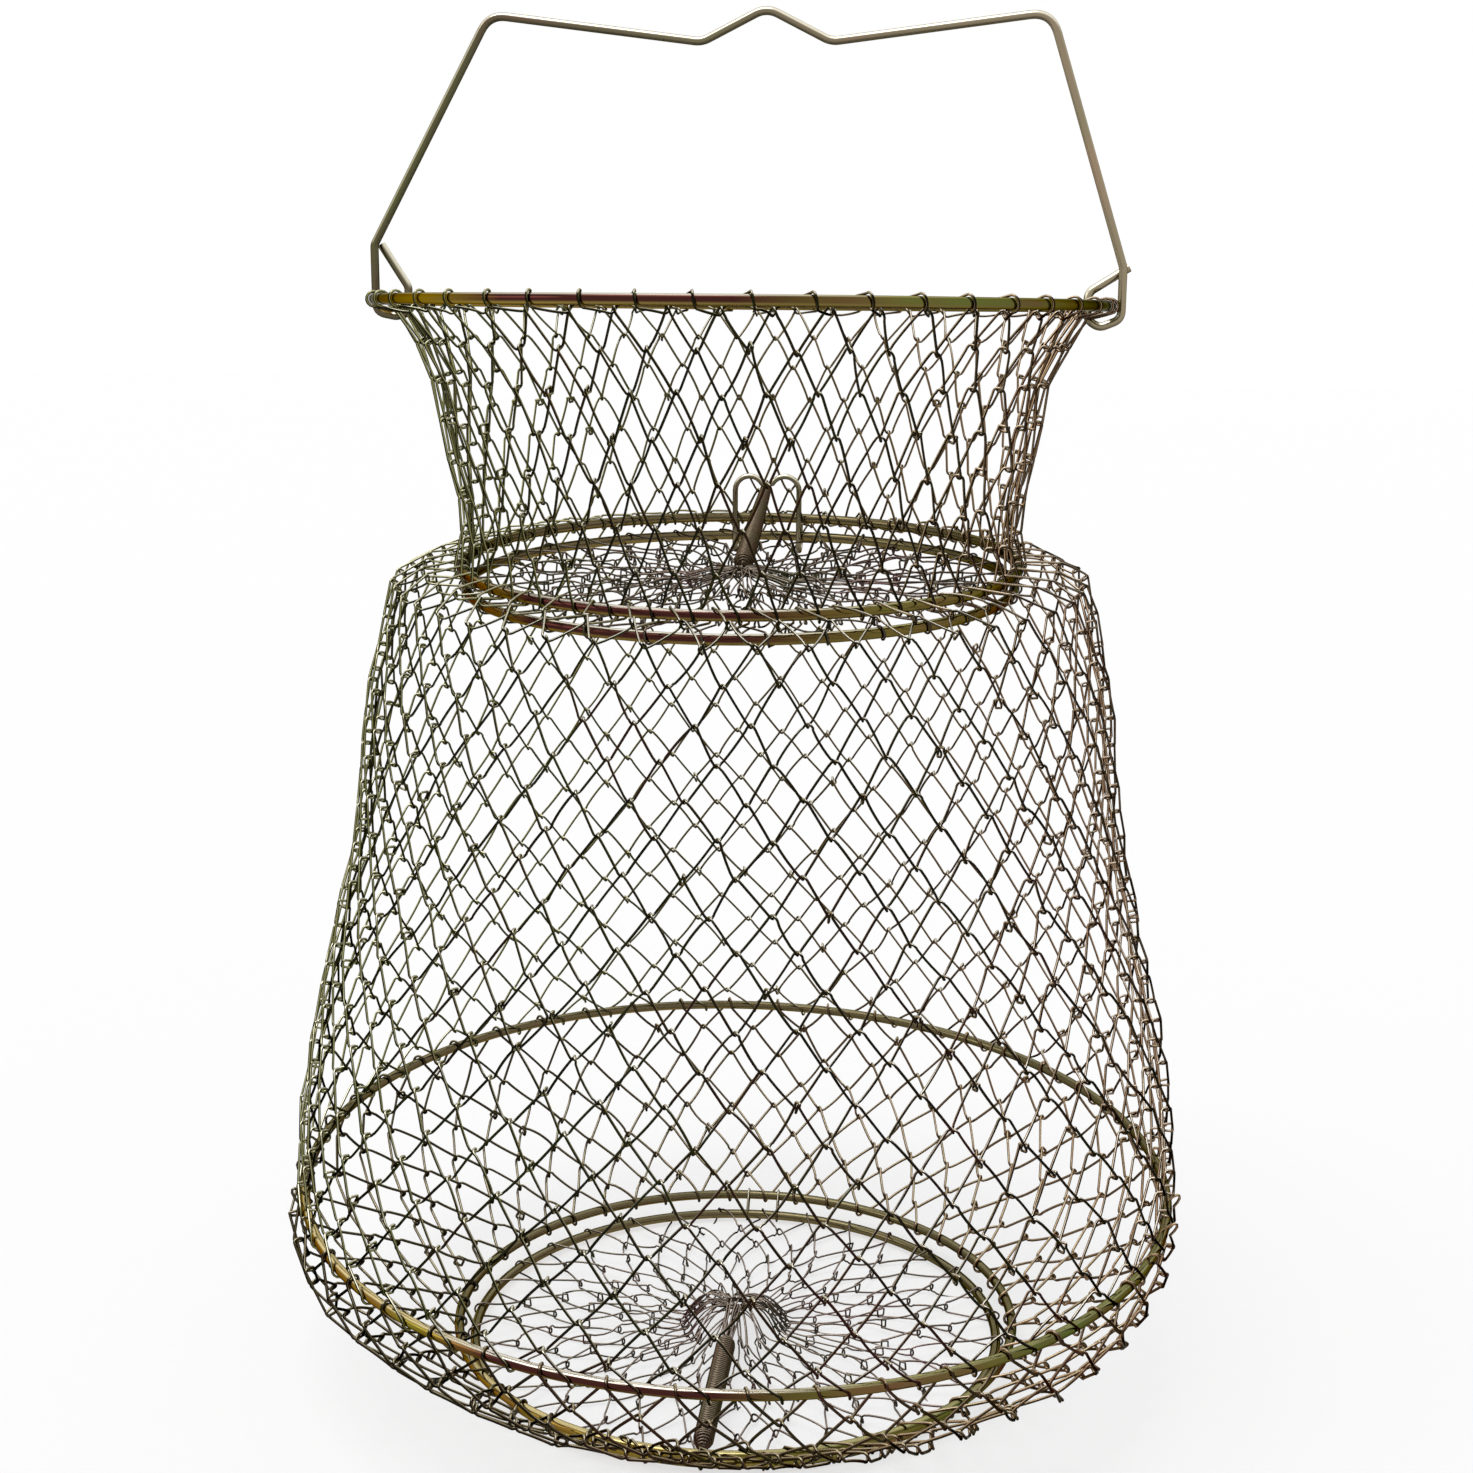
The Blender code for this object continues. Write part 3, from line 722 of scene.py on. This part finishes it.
def spaced(line, rows, first, last):
    """Levels along an outline, evenly apart, with the first and last row this share of the others."""
    run = smooth_line([Vector(spot) for spot in line])
    lengths = [0.0]
    for start, end in zip(run, run[1:]):
        lengths.append(lengths[-1] + (end - start).length)
    heights = [first] + [1.0] * (rows - 2) + [last]
    stations = [(run[0].x, run[0].y)]
    reached = 0.0
    for height in heights[:-1]:
        reached += height / sum(heights) * lengths[-1]
        i = bisect_left(lengths, reached)
        share = (reached - lengths[i - 1]) / (lengths[i] - lengths[i - 1])
        spot = run[i - 1].lerp(run[i], share)
        stations.append((spot.x, spot.y))
    return stations + [(run[-1].x, run[-1].y)]


def wall_frames(stations):
    """For each level of a wall: radius, z, the way down the wall and the way out of it."""
    frames = []
    for i, (radius, z) in enumerate(stations):
        before = stations[max(i - 1, 0)]
        after = stations[min(i + 1, len(stations) - 1)]
        down = Vector((after[0] - before[0], after[1] - before[1])).normalized()
        frames.append((radius, z, down, Vector((-down.y, down.x))))
    return frames


def unevenness(angle, share, looseness):
    """How uneven the net is at a place: more on the right side, and more towards the lower rows."""
    right = 0.5 + 0.5 * cos(angle - SLACK_SIDE)
    return looseness * (UNEVEN_LEAST + UNEVEN_SIDE * right + UNEVEN_LOW * share)


def stick_out(angle):
    """How far a top hook of the base net sticks out: only some do, on both sides of the basket."""
    for side in STICK_SIDES:
        away = abs((angle - side + pi) % tau - pi)
        if away < STICK_REACH:
            fade = cos(away / STICK_REACH * pi / 2) ** 0.5
            return CHANCE.uniform(STICK_LEAST, 1.0) * STICK_OUT * fade
    return 0.0


def net_joints(stations, phase, twist, looseness, swell=None, cells=CELLS, stick=None):
    """The places where the rows of a wall hook together, level by level, each a little off its mark."""
    levels = []
    last = len(stations) - 1
    for level, (radius, z, down, out) in enumerate(wall_frames(stations)):
        start = (phase + (0.5 + twist) * level) % 1.0
        on_ring = level in (0, last)
        loose_share = CHANCE.choice(LOOSE_SHARES) * looseness
        joints = []
        for cell in range(cells):
            angle = (cell + start) * tau / cells
            uneven = unevenness(angle, level / last, looseness)
            shift = CHANCE.gauss(0, SHIFT_SPREAD * uneven)
            slip = 0.0 if on_ring else CHANCE.gauss(0, SLIP_SPREAD * uneven)
            lift = 0.0 if on_ring else CHANCE.gauss(0, LIFT_SPREAD * uneven)
            reach = HOOK_REACH + min(CHANCE.expovariate(1.0), PLAY_MOST) * HOOK_PLAY
            if on_ring:
                reach = min(CHANCE.expovariate(1.0), PLAY_MOST) * RING_HOOK_PLAY * uneven
            elif CHANCE.random() < loose_share * uneven:
                reach = HOOK_REACH + CHANCE.uniform(LOOSE_LEAST, LOOSE_MOST)
            spot = Vector((radius, z)) + down * slip + out * lift
            if swell:
                spot += swell(level, last, angle, out)
            sticking = stick(angle) if stick and level == 0 else 0.0
            joints.append(Joint(spot, angle + shift / radius, down, out, reach, sticking))
        levels.append(joints)
    return levels


def joint_point(joint, along, up, side):
    """A point near a joint: along the ring of joints, up the wall and out of it."""
    place = joint.spot - joint.down * up + joint.out * side
    return polar(place.x, joint.angle + along / max(place.x, AXIS_CLEAR), place.y)


def ring_hook(joint, half_width, held, top):
    """Points of a hook round a ring, from one side of the wall to the other, with a little play."""
    points = []
    way = 1 if top else -1
    for step in range(RING_HOOK_STEPS + 1):
        turn = radians(RING_HOOK_START - RING_HOOK_TURN * step)
        along = half_width * (2 * step / RING_HOOK_STEPS - 1)
        play = joint.reach * max(0.0, sin(turn))
        slack = joint.stick * max(0.0, sin(turn)) ** STICK_FULLNESS
        points.append(
            joint_point(
                joint, along, way * (held * sin(turn) + play) + STICK_RISE * slack,
                way * held * cos(turn) + slack,
            )
        )
    return points


def link_hook(joint, half_width, top):
    """The corners of a hook through the next row's hook: a loose one has legs and leans."""
    way = 1 if top else -1
    side = HOOK_SIDE * min(1.0, half_width / HOOK_HALF_WIDTH)
    slack = joint.reach - HOOK_REACH
    lean = way * LOOSE_LEAN * slack
    corners = [(lean - half_width, joint.reach, -side), (lean + half_width, joint.reach, side)]
    if slack > LOOSE_LEAST:
        low = joint.reach - LOOSE_LEG * slack
        corners.insert(0, (-half_width, low, -side))
        corners.append((half_width, low, side))
    return [joint_point(joint, along, way * up, way * out) for along, up, out in corners]


def strut(start, end, bow):
    """Points between two hooks, bowed a little sideways."""
    along = end - start
    side = along.cross(Vector((start.x, start.y, 0))).normalized()
    count = 3 if along.length < LONG_STRUT else 6
    shares = [step / (count + 1) for step in range(1, count + 1)]
    return [start + along * share + side * bow * 4 * share * (1 - share) for share in shares]


def hook_width(joint, on_ring):
    """Half the width of a hook, less where the cells of a panel are narrow."""
    widest = RING_HOOK_HALF_WIDTH if on_ring else HOOK_HALF_WIDTH
    return min(widest, HOOK_CELL_SHARE * joint.spot.x * tau / PANEL_CELLS)


def hook_points(joint, on_ring, held, top):
    """The points of a hook, round a ring or through the next row's hook."""
    if on_ring:
        return ring_hook(joint, hook_width(joint, True), held, top)
    return link_hook(joint, hook_width(joint, False), top)


def net_row(name, upper, lower, first, last, held, looseness, shape, wire, material):
    """One closed zigzag wire between two levels of joints."""
    shift = 0 if lower[0].angle > upper[0].angle else 1
    cells = len(upper)
    hooks = []
    for cell in range(cells):
        hooks.append((hook_points(upper[cell], first, held[0], True), first))
        hooks.append((hook_points(lower[(cell + shift) % cells], last, held[1], False), last))
    points = []
    count = len(hooks)
    for i, (hook, on_ring) in enumerate(hooks):
        before = hooks[i - 1][0][-1]
        after = hooks[(i + 1) % count][0][0]
        if on_ring:
            points += hook
        else:
            points += rounded([before] + hook + [after], HOOK_BEND, HOOK_BEND_STEPS)[1:-1]
        bow = CHANCE.gauss(0, STRUT_BOW * looseness)
        points += strut(hook[-1], after, bow)
    return bent_wire(name, [shape(point) for point in points], wire, material, closed=True)


def net_wall(name, levels, held, looseness, shape, wires, material):
    """All rows of a wall between two rings."""
    rows = []
    for row in range(len(levels) - 1):
        first, last = row == 0, row == len(levels) - 2
        wire = wires[0] + (wires[1] - wires[0]) * row / (len(levels) - 2)
        rows.append(
            net_row(
                f"{name}_{row + 1:02d}", levels[row], levels[row + 1], first, last, held, looseness,
                shape, wire, material,
            )
        )
    return rows


def neck_stations():
    """The flared neck, from the rim down to the neck ring."""
    line = ((RIM_RADIUS, RIM_Z), *NECK_LINE, (NECK_RADIUS, NECK_Z))
    return spaced(line, NECK_ROWS, *NECK_END_ROWS)


def body_stations():
    """A nearly level shoulder, then a funnel down to the widest ring."""
    line = ((NECK_RADIUS, NECK_Z), *BODY_LINE, (MID_RADIUS, MID_Z))
    return spaced(line, BODY_ROWS, *BODY_END_ROWS)


def base_stations():
    """The slack bag from the widest ring down to the bottom ring."""
    line = ((MID_RADIUS, MID_Z), *BASE_LINE, (BOTTOM_RADIUS, BOTTOM_Z))
    return spaced(line, BASE_ROWS, *BASE_END_ROWS)


def base_swell(level, last, angle, out):
    """The slack base bag hangs fuller on the right, and just under the widest ring on the left."""
    right = BASE_SWELL * sin(pi * level / last) * cos(angle - BASE_SWELL_SIDE)
    left = max(0.0, cos(angle - LEFT_SWELL_SIDE)) ** LEFT_SWELL_NARROWNESS
    left *= sin(pi * min(1.0, LEFT_SWELL_HEIGHT * level / last))
    return out * (right + LEFT_SWELL * left)


def panel_stations(radius, z, rise):
    """A flat round panel whose last row is drawn up to the ring that gathers its centre."""
    stations = [(radius, z)]
    flat_rows = PANEL_ROWS - 2
    outer = radius - PANEL_FIRST_ROW
    for row in range(flat_rows + 1):
        stations.append((outer + (GATHER_START - outer) * row / flat_rows, z))
    return stations + [(GATHER_RADIUS, z + rise)]


def arched(point, height, front_share):
    """The slack wires round a gathered centre stand up on the left and right of it."""
    radius = (point.x**2 + point.y**2) ** 0.5
    share = (radius - GATHER_RADIUS) / (GATHER_START + ARCH_MARGIN - GATHER_RADIUS)
    if not 0 < share < 1:
        return point
    sideways = (point.x / radius) ** 2
    rise = height * (front_share + (1 - front_share) * sideways) * sin(pi * share)
    return Vector((point.x, point.y, point.z + rise))


def lid_arch(point):
    """The lid's net is nearly flat and leans with the lid's ring."""
    return leaned(arched(point, LID_ARCH, LID_ARCH_FRONT), LID_TIP)


def door_arch(point):
    """The floor door's net puffs up beside its gathered centre."""
    return arched(point, DOOR_ARCH, DOOR_ARCH_FRONT)


def stand_for(rows, cad_name, cad_rows):
    """The rows stand for the frame's coarser rows."""
    for i, row in enumerate(rows):
        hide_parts(f"{cad_name}_{i * cad_rows // len(rows) + 1}")


def fold_between(rows):
    """Each row has its transform applied to its points; it is not attached to either ring.
    """
    for i, row in enumerate(rows):
        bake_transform(row)


# A wall of net between two rings, with the wire of its first and of its last row
Wall = namedtuple(
    "Wall", "name cad_rows stations turn looseness wires material upper lower swell stick",
    defaults=(None, None),
)
WALLS = (
    Wall(
        "neck", NECK_CAD_ROWS, neck_stations, NECK_TURN, WALL_LOOSENESS, NECK_WIRES, NET,
        upper=RIM_SEAT, lower=NECK_SEAT,
    ),
    Wall(
        "body", BODY_CAD_ROWS, body_stations, BODY_TURN, WALL_LOOSENESS, BODY_WIRES, NET,
        upper=NECK_SEAT, lower=MID_SEAT,
    ),
    Wall(
        "base", BASE_CAD_ROWS, base_stations, BASE_TURN, BASE_LOOSENESS, BASE_WIRES, BASE_NET,
        upper=MID_SEAT, lower=BOTTOM_SEAT, swell=base_swell, stick=stick_out,
    ),
)


def make_walls():
    """The nets of the neck, the body and the base."""
    ring_hold = RING_WIRE / 2 + MESH_WIRE / 2 + GAP
    for wall in WALLS:
        joints = net_joints(
            wall.stations(), *wall.turn, wall.looseness, wall.swell, stick=wall.stick
        )
        rows = net_wall(
            f"{wall.name}_net", joints, (ring_hold, ring_hold), wall.looseness,
            partial(between, low=wall.lower, high=wall.upper), wall.wires, wall.material,
        )
        stand_for(rows, f"{wall.name}_mesh_row", wall.cad_rows)
        fold_between(rows)


# A flat net in a ring. Its joints and the wires between them are each loose in their own way.
Panel = namedtuple("Panel", "name radius z rise shape looseness slack")
PANELS = (
    Panel("lid", LID_RADIUS, LID_Z, LID_RISE, lid_arch, LID_LOOSENESS, LID_SLACK),
    Panel("door", DOOR_RADIUS, DOOR_Z, DOOR_RISE, door_arch, DOOR_LOOSENESS, DOOR_SLACK),
)


def make_panels():
    """The nets of the lid and of the floor door, each from its ring to the ring that gathers it."""
    held = (
        RING_WIRE / 2 + PANEL_WIRE / 2 + GAP,
        GATHER_WIRE / 2 + PANEL_WIRE / 2 + GAP,
    )
    for panel in PANELS:
        stations = panel_stations(panel.radius, panel.z, panel.rise)
        joints = net_joints(stations, *PANEL_TURN, panel.looseness, cells=PANEL_CELLS)
        rows = net_wall(
            f"{panel.name}_net", joints, held, panel.slack, panel.shape, PANEL_WIRES, PANEL_NET
        )
        stand_for(rows, f"{panel.name}_mesh_row", PANEL_CAD_ROWS)
        for row in rows:
            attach(row, panel.name)


# Rings

def wire_ring(name, radius, seat, thickness, node, material, segments=144, sides=14):
    """A closed wire ring at its level, tipped where it leans."""
    deselect()
    bpy.ops.mesh.primitive_torus_add(
        major_segments=segments,
        minor_segments=sides,
        major_radius=radius,
        minor_radius=thickness / 2,
        location=(0, 0, seat.z),
        rotation=(-seat.tip, seat.side_tip, 0),
    )
    ring = bpy.context.object
    ring.name = name
    bpy.ops.object.transform_apply(location=True, rotation=True, scale=True)
    bpy.ops.object.shade_smooth()
    ring.data.materials.clear()
    ring.data.materials.append(material)
    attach(ring, seat.body)
    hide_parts(node)


def make_rings():
    """The six big rings, and the small ones that gather the lid's and the door's net."""
    for name, radius, seat in (
        ("rim", RIM_RADIUS, RIM_SEAT),
        ("neck", NECK_RADIUS, NECK_SEAT),
        ("mid", MID_RADIUS, MID_SEAT),
        ("bottom", BOTTOM_RADIUS, BOTTOM_SEAT),
        ("lid", LID_RADIUS, LID_SEAT),
        ("door", DOOR_RADIUS, DOOR_SEAT),
    ):
        wire_ring(f"{name}_ring_wire", radius, seat, RING_WIRE, f"{name}_ring", RING)
    for seat, rise in ((LID_SEAT, LID_RISE), (DOOR_SEAT, DOOR_RISE)):
        wire_ring(
            f"{seat.body}_gather_wire", GATHER_RADIUS, seat._replace(z=seat.z + rise), GATHER_WIRE,
            f"{seat.body}_gather_ring", PANEL_NET, segments=40, sides=8,
        )


# Bail

def bail_eye(side, knee, tail_reach, depth):
    """The eye round the rim on one side, from its cut tail to its knee."""
    outer = RIM_RADIUS + RING_WIRE / 2 + BAIL_WIRE / 2 + EYE_CLEAR
    inner = RIM_RADIUS - EYE_INNER_INSET
    corners = [
        (RIM_RADIUS + tail_reach, BAIL_WIRE + EYE_PLAY, knee),
        (inner, EYE_TWIST, EYE_INNER_TOP),
        (inner, 0.0, -min(EYE_INNER_LOW, depth - EYE_BOTTOM_MARGIN)),
        (RIM_RADIUS - EYE_LOWEST_INSET, 0.0, -depth),
        (outer, 0.0, -EYE_OUTER_LOW),
        (outer, 0.0, knee),
    ]
    return [Vector((side * x, y, RIM_Z + z)) for x, y, z in corners]


def bail_points():
    """The whole bail: eye, arm, M-shaped grip, arm, eye."""
    top = RIM_Z + BAIL_HEIGHT
    crest = [
        (BAIL_SWAY + BAIL_HALF_WIDTH, top),
        (BAIL_SWAY + BAIL_PEAK_HALF_WIDTH, top - BAIL_DIP),
        (BAIL_SWAY, top + BAIL_PEAK_RISE),
        (BAIL_SWAY - BAIL_PEAK_HALF_WIDTH, top - BAIL_DIP),
        (BAIL_SWAY - BAIL_HALF_WIDTH, top),
    ]
    right = bail_eye(1, EYE_KNEE_RIGHT, EYE_TAIL_REACH_RIGHT, EYE_DEPTH_RIGHT)
    left = bail_eye(-1, EYE_KNEE_LEFT, EYE_TAIL_REACH_LEFT, EYE_DEPTH_LEFT)
    corners = right + [Vector((x, 0.0, z)) for x, z in crest] + left[::-1]
    knee = len(right) - 1
    arm = (corners[knee] + corners[knee + 1]) / 2
    run = rounded(corners[: knee + 1] + [arm], EYE_BEND, EYE_BEND_STEPS)[:-1]
    run += rounded(corners[knee : len(corners) - knee], BAIL_BEND, BAIL_BEND_STEPS)[1:-1]
    far_eye = corners[len(corners) - knee - 1 :]
    arm = (corners[-knee - 2] + far_eye[0]) / 2
    run += rounded([arm] + far_eye, EYE_BEND, EYE_BEND_STEPS)[1:]
    return run


def make_bail():
    bail = bent_wire("bail", bail_points(), BAIL_WIRE, BAIL, sides=14)
    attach(bail, "handle")
    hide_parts("carry_handle")


# Spring, bracket and hinge loops

def bracket_points():
    """Right half of the bracket, from the tail behind the rings to the dip where the spring hooks on."""
    low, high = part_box("lid_spring_bracket")
    x = BRACKET_HALF_WIDTH
    front, back = low.y + BRACKET_WIRE / 2, high.y - BRACKET_WIRE / 2
    turn_radius = (back - front) / 2
    turn_z = low.z + BRACKET_WIRE / 2 + turn_radius
    points = [Vector((x, back, NECK_Z))]
    for step in range(BRACKET_TURN_STEPS + 1):
        angle = -pi * step / BRACKET_TURN_STEPS
        points.append(
            Vector((x, front + turn_radius * (1 + cos(angle)), turn_z + turn_radius * sin(angle)))
        )
    loop_z = high.z - BRACKET_WIRE / 2 - BRACKET_LOOP_RADIUS
    loop_x = x - BRACKET_LOOP_RADIUS
    for step in range(BRACKET_LOOP_STEPS + 1):
        angle = BRACKET_LOOP_TURN * step
        points.append(
            Vector((
                loop_x + BRACKET_LOOP_RADIUS * cos(angle),
                front,
                loop_z + BRACKET_LOOP_RADIUS * sin(angle),
            ))
        )
    return [leaned(point, NECK_TIP) for point in points]


def knot_place():
    """The dip between the bracket's two loops."""
    last = bracket_points()[-1]
    return Vector((0, last.y, last.z - BRACKET_DIP))


def mirrored(points):
    """The other half, in the order that goes on from this one."""
    return [Vector((-point.x, point.y, point.z)) for point in reversed(points)]


def spring_path(start, end, start_eye, end_eye, lead, narrow, outer):
    """A close wound coil between two wires that run along X, with a hook round each of them."""
    along = (end - start).normalized()
    up = Vector((1, 0, 0)).cross(along)
    if up.z < 0:
        up = -up
    side = along.cross(up)
    coil_radius = (outer - SPRING_WIRE) / 2
    first = start_eye + lead
    last = (end - start).length - end_eye - COIL_START
    curls = int((last - first) / COIL_PITCH)
    points = []
    for angle in START_EYE_ANGLES:
        turn = radians(angle)
        points.append(start + along * (start_eye * cos(turn)) + up * (start_eye * sin(turn)))
    points.append(start + along * (start_eye + COIL_START))
    points.append(start + along * (first - COIL_START))
    count = curls * POINTS_PER_CURL
    for step in range(count + 1):
        share = step / count
        spread = share + COIL_OPENING * (share * (1 - share) ** 2)
        turn = tau * curls * share
        head = COIL_HEAD_WIDTH + COIL_HEAD_GROWTH * share
        body = 1.0 - narrow * max(0.0, share - COIL_NARROWS_FROM)
        width = coil_radius * min(1.0, head, body)
        width *= min(1.0, COIL_TAIL_WIDTH + COIL_TAIL_GROWTH * (1 - share))
        points.append(
            start
            + along * (first + (last - first) * spread)
            + up * (width * cos(turn))
            + side * (width * sin(turn))
        )
    for angle in END_EYE_ANGLES:
        turn = radians(angle)
        points.append(end - along * (end_eye * cos(turn)) + up * (end_eye * sin(turn)))
    return points


def eye_radius(held_wire):
    """The radius of a spring's hook round a wire."""
    return held_wire / 2 + SPRING_WIRE / 2 + GAP


def make_lid_spring():
    """The bracket on the neck ring, and the coil that draws the lid's centre to it."""
    half = bracket_points()
    knot = knot_place()
    bracket = bent_wire("bracket", half + [knot] + mirrored(half), BRACKET_WIRE, BAIL, sides=12)
    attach(bracket, "neck")
    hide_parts("lid_spring_bracket")
    start = leaned(Vector((0, GATHER_RADIUS, LID_Z + LID_RISE)), LID_TIP)
    path = spring_path(
        start, knot, eye_radius(GATHER_WIRE), eye_radius(BRACKET_WIRE), LID_SPRING_LEAD,
        LID_SPRING_NARROWING, LID_SPRING_OUTER,
    )
    spring = bent_wire("lid_coil", path, SPRING_WIRE, COIL, sides=6)
    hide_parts("lid_spring")
    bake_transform(spring)


def strand_points(start, along, strand):
    """A slack wire of the bundle: it twists and closes in along the spring."""
    points = []
    for step in range(STRAND_STEPS + 1):
        share = step / STRAND_STEPS
        spread = STRAND_SPREAD * (STRAND_FLARE - STRAND_CLOSING * share)
        turn = tau * strand / STRANDS + STRAND_TWIST * share
        turn += STRAND_WAVE * sin(STRAND_WAVES * share + strand)
        sideways = Vector((cos(turn), 0, sin(turn))) * spread
        points.append(start + along * (STRAND_LENGTH * share - STRAND_OVERLAP) + sideways)
    return points


def make_door_spring():
    """The coil that holds the floor door shut, and the slack wires round its head."""
    start = Vector((0, -GATHER_RADIUS, DOOR_Z + DOOR_RISE))
    end = Vector((0, -BOTTOM_RADIUS, BOTTOM_Z))
    path = spring_path(
        start, end, eye_radius(GATHER_WIRE), eye_radius(RING_WIRE), DOOR_SPRING_LEAD,
        DOOR_SPRING_NARROWING, DOOR_SPRING_OUTER,
    )
    spring = bent_wire("door_coil", path, SPRING_WIRE, COIL, sides=6)
    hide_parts("door_spring")
    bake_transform(spring)
    along = (end - start).normalized()
    for strand in range(STRANDS):
        points = strand_points(start, along, strand)
        drawn = bent_wire(f"door_strand_{strand + 1}", points, PANEL_WIRE, PANEL_NET)
        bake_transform(drawn)


def make_hinge_loops():
    """The two loops that hold the door ring to the bottom ring."""
    held = RING_WIRE / 2 + HINGE_WIRE / 2 + GAP
    for side in ("left", "right"):
        low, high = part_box(f"door_hinge_loop_{side}")
        x = (low.x + high.x) / 2
        reach = (BOTTOM_RADIUS**2 - x**2) ** 0.5
        fixed = Vector((x, reach, BOTTOM_Z))
        hung = Vector((x, (DOOR_RADIUS**2 - x**2) ** 0.5, DOOR_Z))
        lean = atan2(fixed.z - hung.z, fixed.y - hung.y)
        points = []
        for centre, start in ((fixed, lean - pi / 2), (hung, lean + pi / 2)):
            for step in range(HINGE_TURN_STEPS + 1):
                angle = start + pi * step / HINGE_TURN_STEPS
                points.append(centre + Vector((0, held * cos(angle), held * sin(angle))))
        loop = bent_wire(f"hinge_loop_{side}", points, HINGE_WIRE, NET, closed=True, sides=8)
        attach(loop, "base")
        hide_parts(f"door_hinge_loop_{side}")


# Stage

FLOOR_SIZE = 12
FLOOR_GLOW = 1.06
FLOOR_GLOW_SHARE = 0.6
STUDIO_LEVEL = 0.62


def seen_rays(nodes, links):
    """1 for the rays that show the backdrop: the camera's, and those off metal and through glass."""
    rays = nodes.new("ShaderNodeLightPath")
    seen = rays.outputs["Is Camera Ray"]
    for kind in ("Is Glossy Ray", "Is Transmission Ray"):
        either = nodes.new("ShaderNodeMath")
        either.operation = "MAXIMUM"
        links.new(seen, either.inputs[0])
        links.new(rays.outputs[kind], either.inputs[1])
        seen = either.outputs[0]
    return seen


def make_stage():
    """A white floor that keeps the basket's shadow."""
    deselect()
    bpy.ops.mesh.primitive_plane_add(size=FLOOR_SIZE, location=(0, 0, 0))
    floor = bpy.context.object
    floor.name = "floor"
    material = bpy.data.materials.new("floor_white")
    material.use_nodes = True
    nodes, links = material.node_tree.nodes, material.node_tree.links
    shader = nodes["Principled BSDF"]
    shader.inputs["Base Color"].default_value = (0.9, 0.9, 0.9, 1)
    shader.inputs["Roughness"].default_value = 0.9
    glow = nodes.new("ShaderNodeEmission")
    glow.inputs["Color"].default_value = (1, 1, 1, 1)
    glow.inputs["Strength"].default_value = FLOOR_GLOW
    shown = nodes.new("ShaderNodeMath")
    shown.operation = "MULTIPLY"
    shown.inputs[1].default_value = FLOOR_GLOW_SHARE
    links.new(seen_rays(nodes, links), shown.inputs[0])
    mix = nodes.new("ShaderNodeMixShader")
    links.new(shown.outputs[0], mix.inputs[0])
    links.new(shader.outputs[0], mix.inputs[1])
    links.new(glow.outputs[0], mix.inputs[2])
    links.new(mix.outputs[0], nodes["Material Output"].inputs["Surface"])
    floor.data.materials.append(material)


def make_world():
    """Even light from all round, and plain white behind the basket."""
    world = bpy.data.worlds.new("studio")
    bpy.context.scene.world = world
    world.use_nodes = True
    nodes, links = world.node_tree.nodes, world.node_tree.links
    light = nodes["Background"]
    light.inputs["Color"].default_value = (1, 1, 1, 1)
    light.inputs["Strength"].default_value = STUDIO_LEVEL
    white = nodes.new("ShaderNodeBackground")
    white.inputs["Color"].default_value = (1, 1, 1, 1)
    white.inputs["Strength"].default_value = 1.0
    mix = nodes.new("ShaderNodeMixShader")
    links.new(seen_rays(nodes, links), mix.inputs[0])
    links.new(light.outputs[0], mix.inputs[1])
    links.new(white.outputs[0], mix.inputs[2])
    links.new(mix.outputs[0], nodes["World Output"].inputs["Surface"])


def soft_light(name, place, width, power):
    """A wide soft light from far away, that shines from a place towards the middle of the basket."""
    deselect()
    bpy.ops.object.light_add(type="SUN", location=place)
    lamp = bpy.context.object
    lamp.name = name
    lamp.data.angle = width
    lamp.data.energy = power
    lamp.rotation_euler = (Vector((0, 0, 0.2)) - Vector(place)).to_track_quat("-Z", "Y").to_euler()


def make_lights():
    soft_light("top_light", (-0.35, -0.30, 1.60), radians(38), 1.0)
    soft_light("left_light", (-1.40, -0.60, 0.90), radians(26), 0.4)


CAMERA_AZIMUTH = radians(6.5)
CAMERA_DISTANCE = 0.807
CAMERA_HEIGHT = 0.4227
CAMERA_SIDESTEP = 0.0010
CAMERA_DIP = radians(12.64)
CAMERA_ROLL = radians(0.34)
CAMERA_LENS = 54.28


def make_camera():
    """The place and the lens that the photograph was taken with."""
    deselect()
    sine, cosine = sin(CAMERA_AZIMUTH), cos(CAMERA_AZIMUTH)
    place = (
        CAMERA_DISTANCE * sine - CAMERA_SIDESTEP * cosine,
        -CAMERA_DISTANCE * cosine - CAMERA_SIDESTEP * sine,
        CAMERA_HEIGHT,
    )
    bpy.ops.object.camera_add(location=place)
    camera = bpy.context.object
    turn = (
        Matrix.Rotation(CAMERA_AZIMUTH, 4, "Z")
        @ Matrix.Rotation(pi / 2 - CAMERA_DIP, 4, "X")
        @ Matrix.Rotation(CAMERA_ROLL, 4, "Z")
    )
    camera.rotation_euler = turn.to_euler()
    camera.data.lens = CAMERA_LENS
    camera.data.sensor_width = 36
    bpy.context.scene.camera = camera


make_walls()
make_panels()
make_rings()
make_bail()
make_lid_spring()
make_door_spring()
make_hinge_loops()
make_stage()
make_world()
make_lights()
make_camera()
bpy.context.scene.view_settings.view_transform = "Standard"
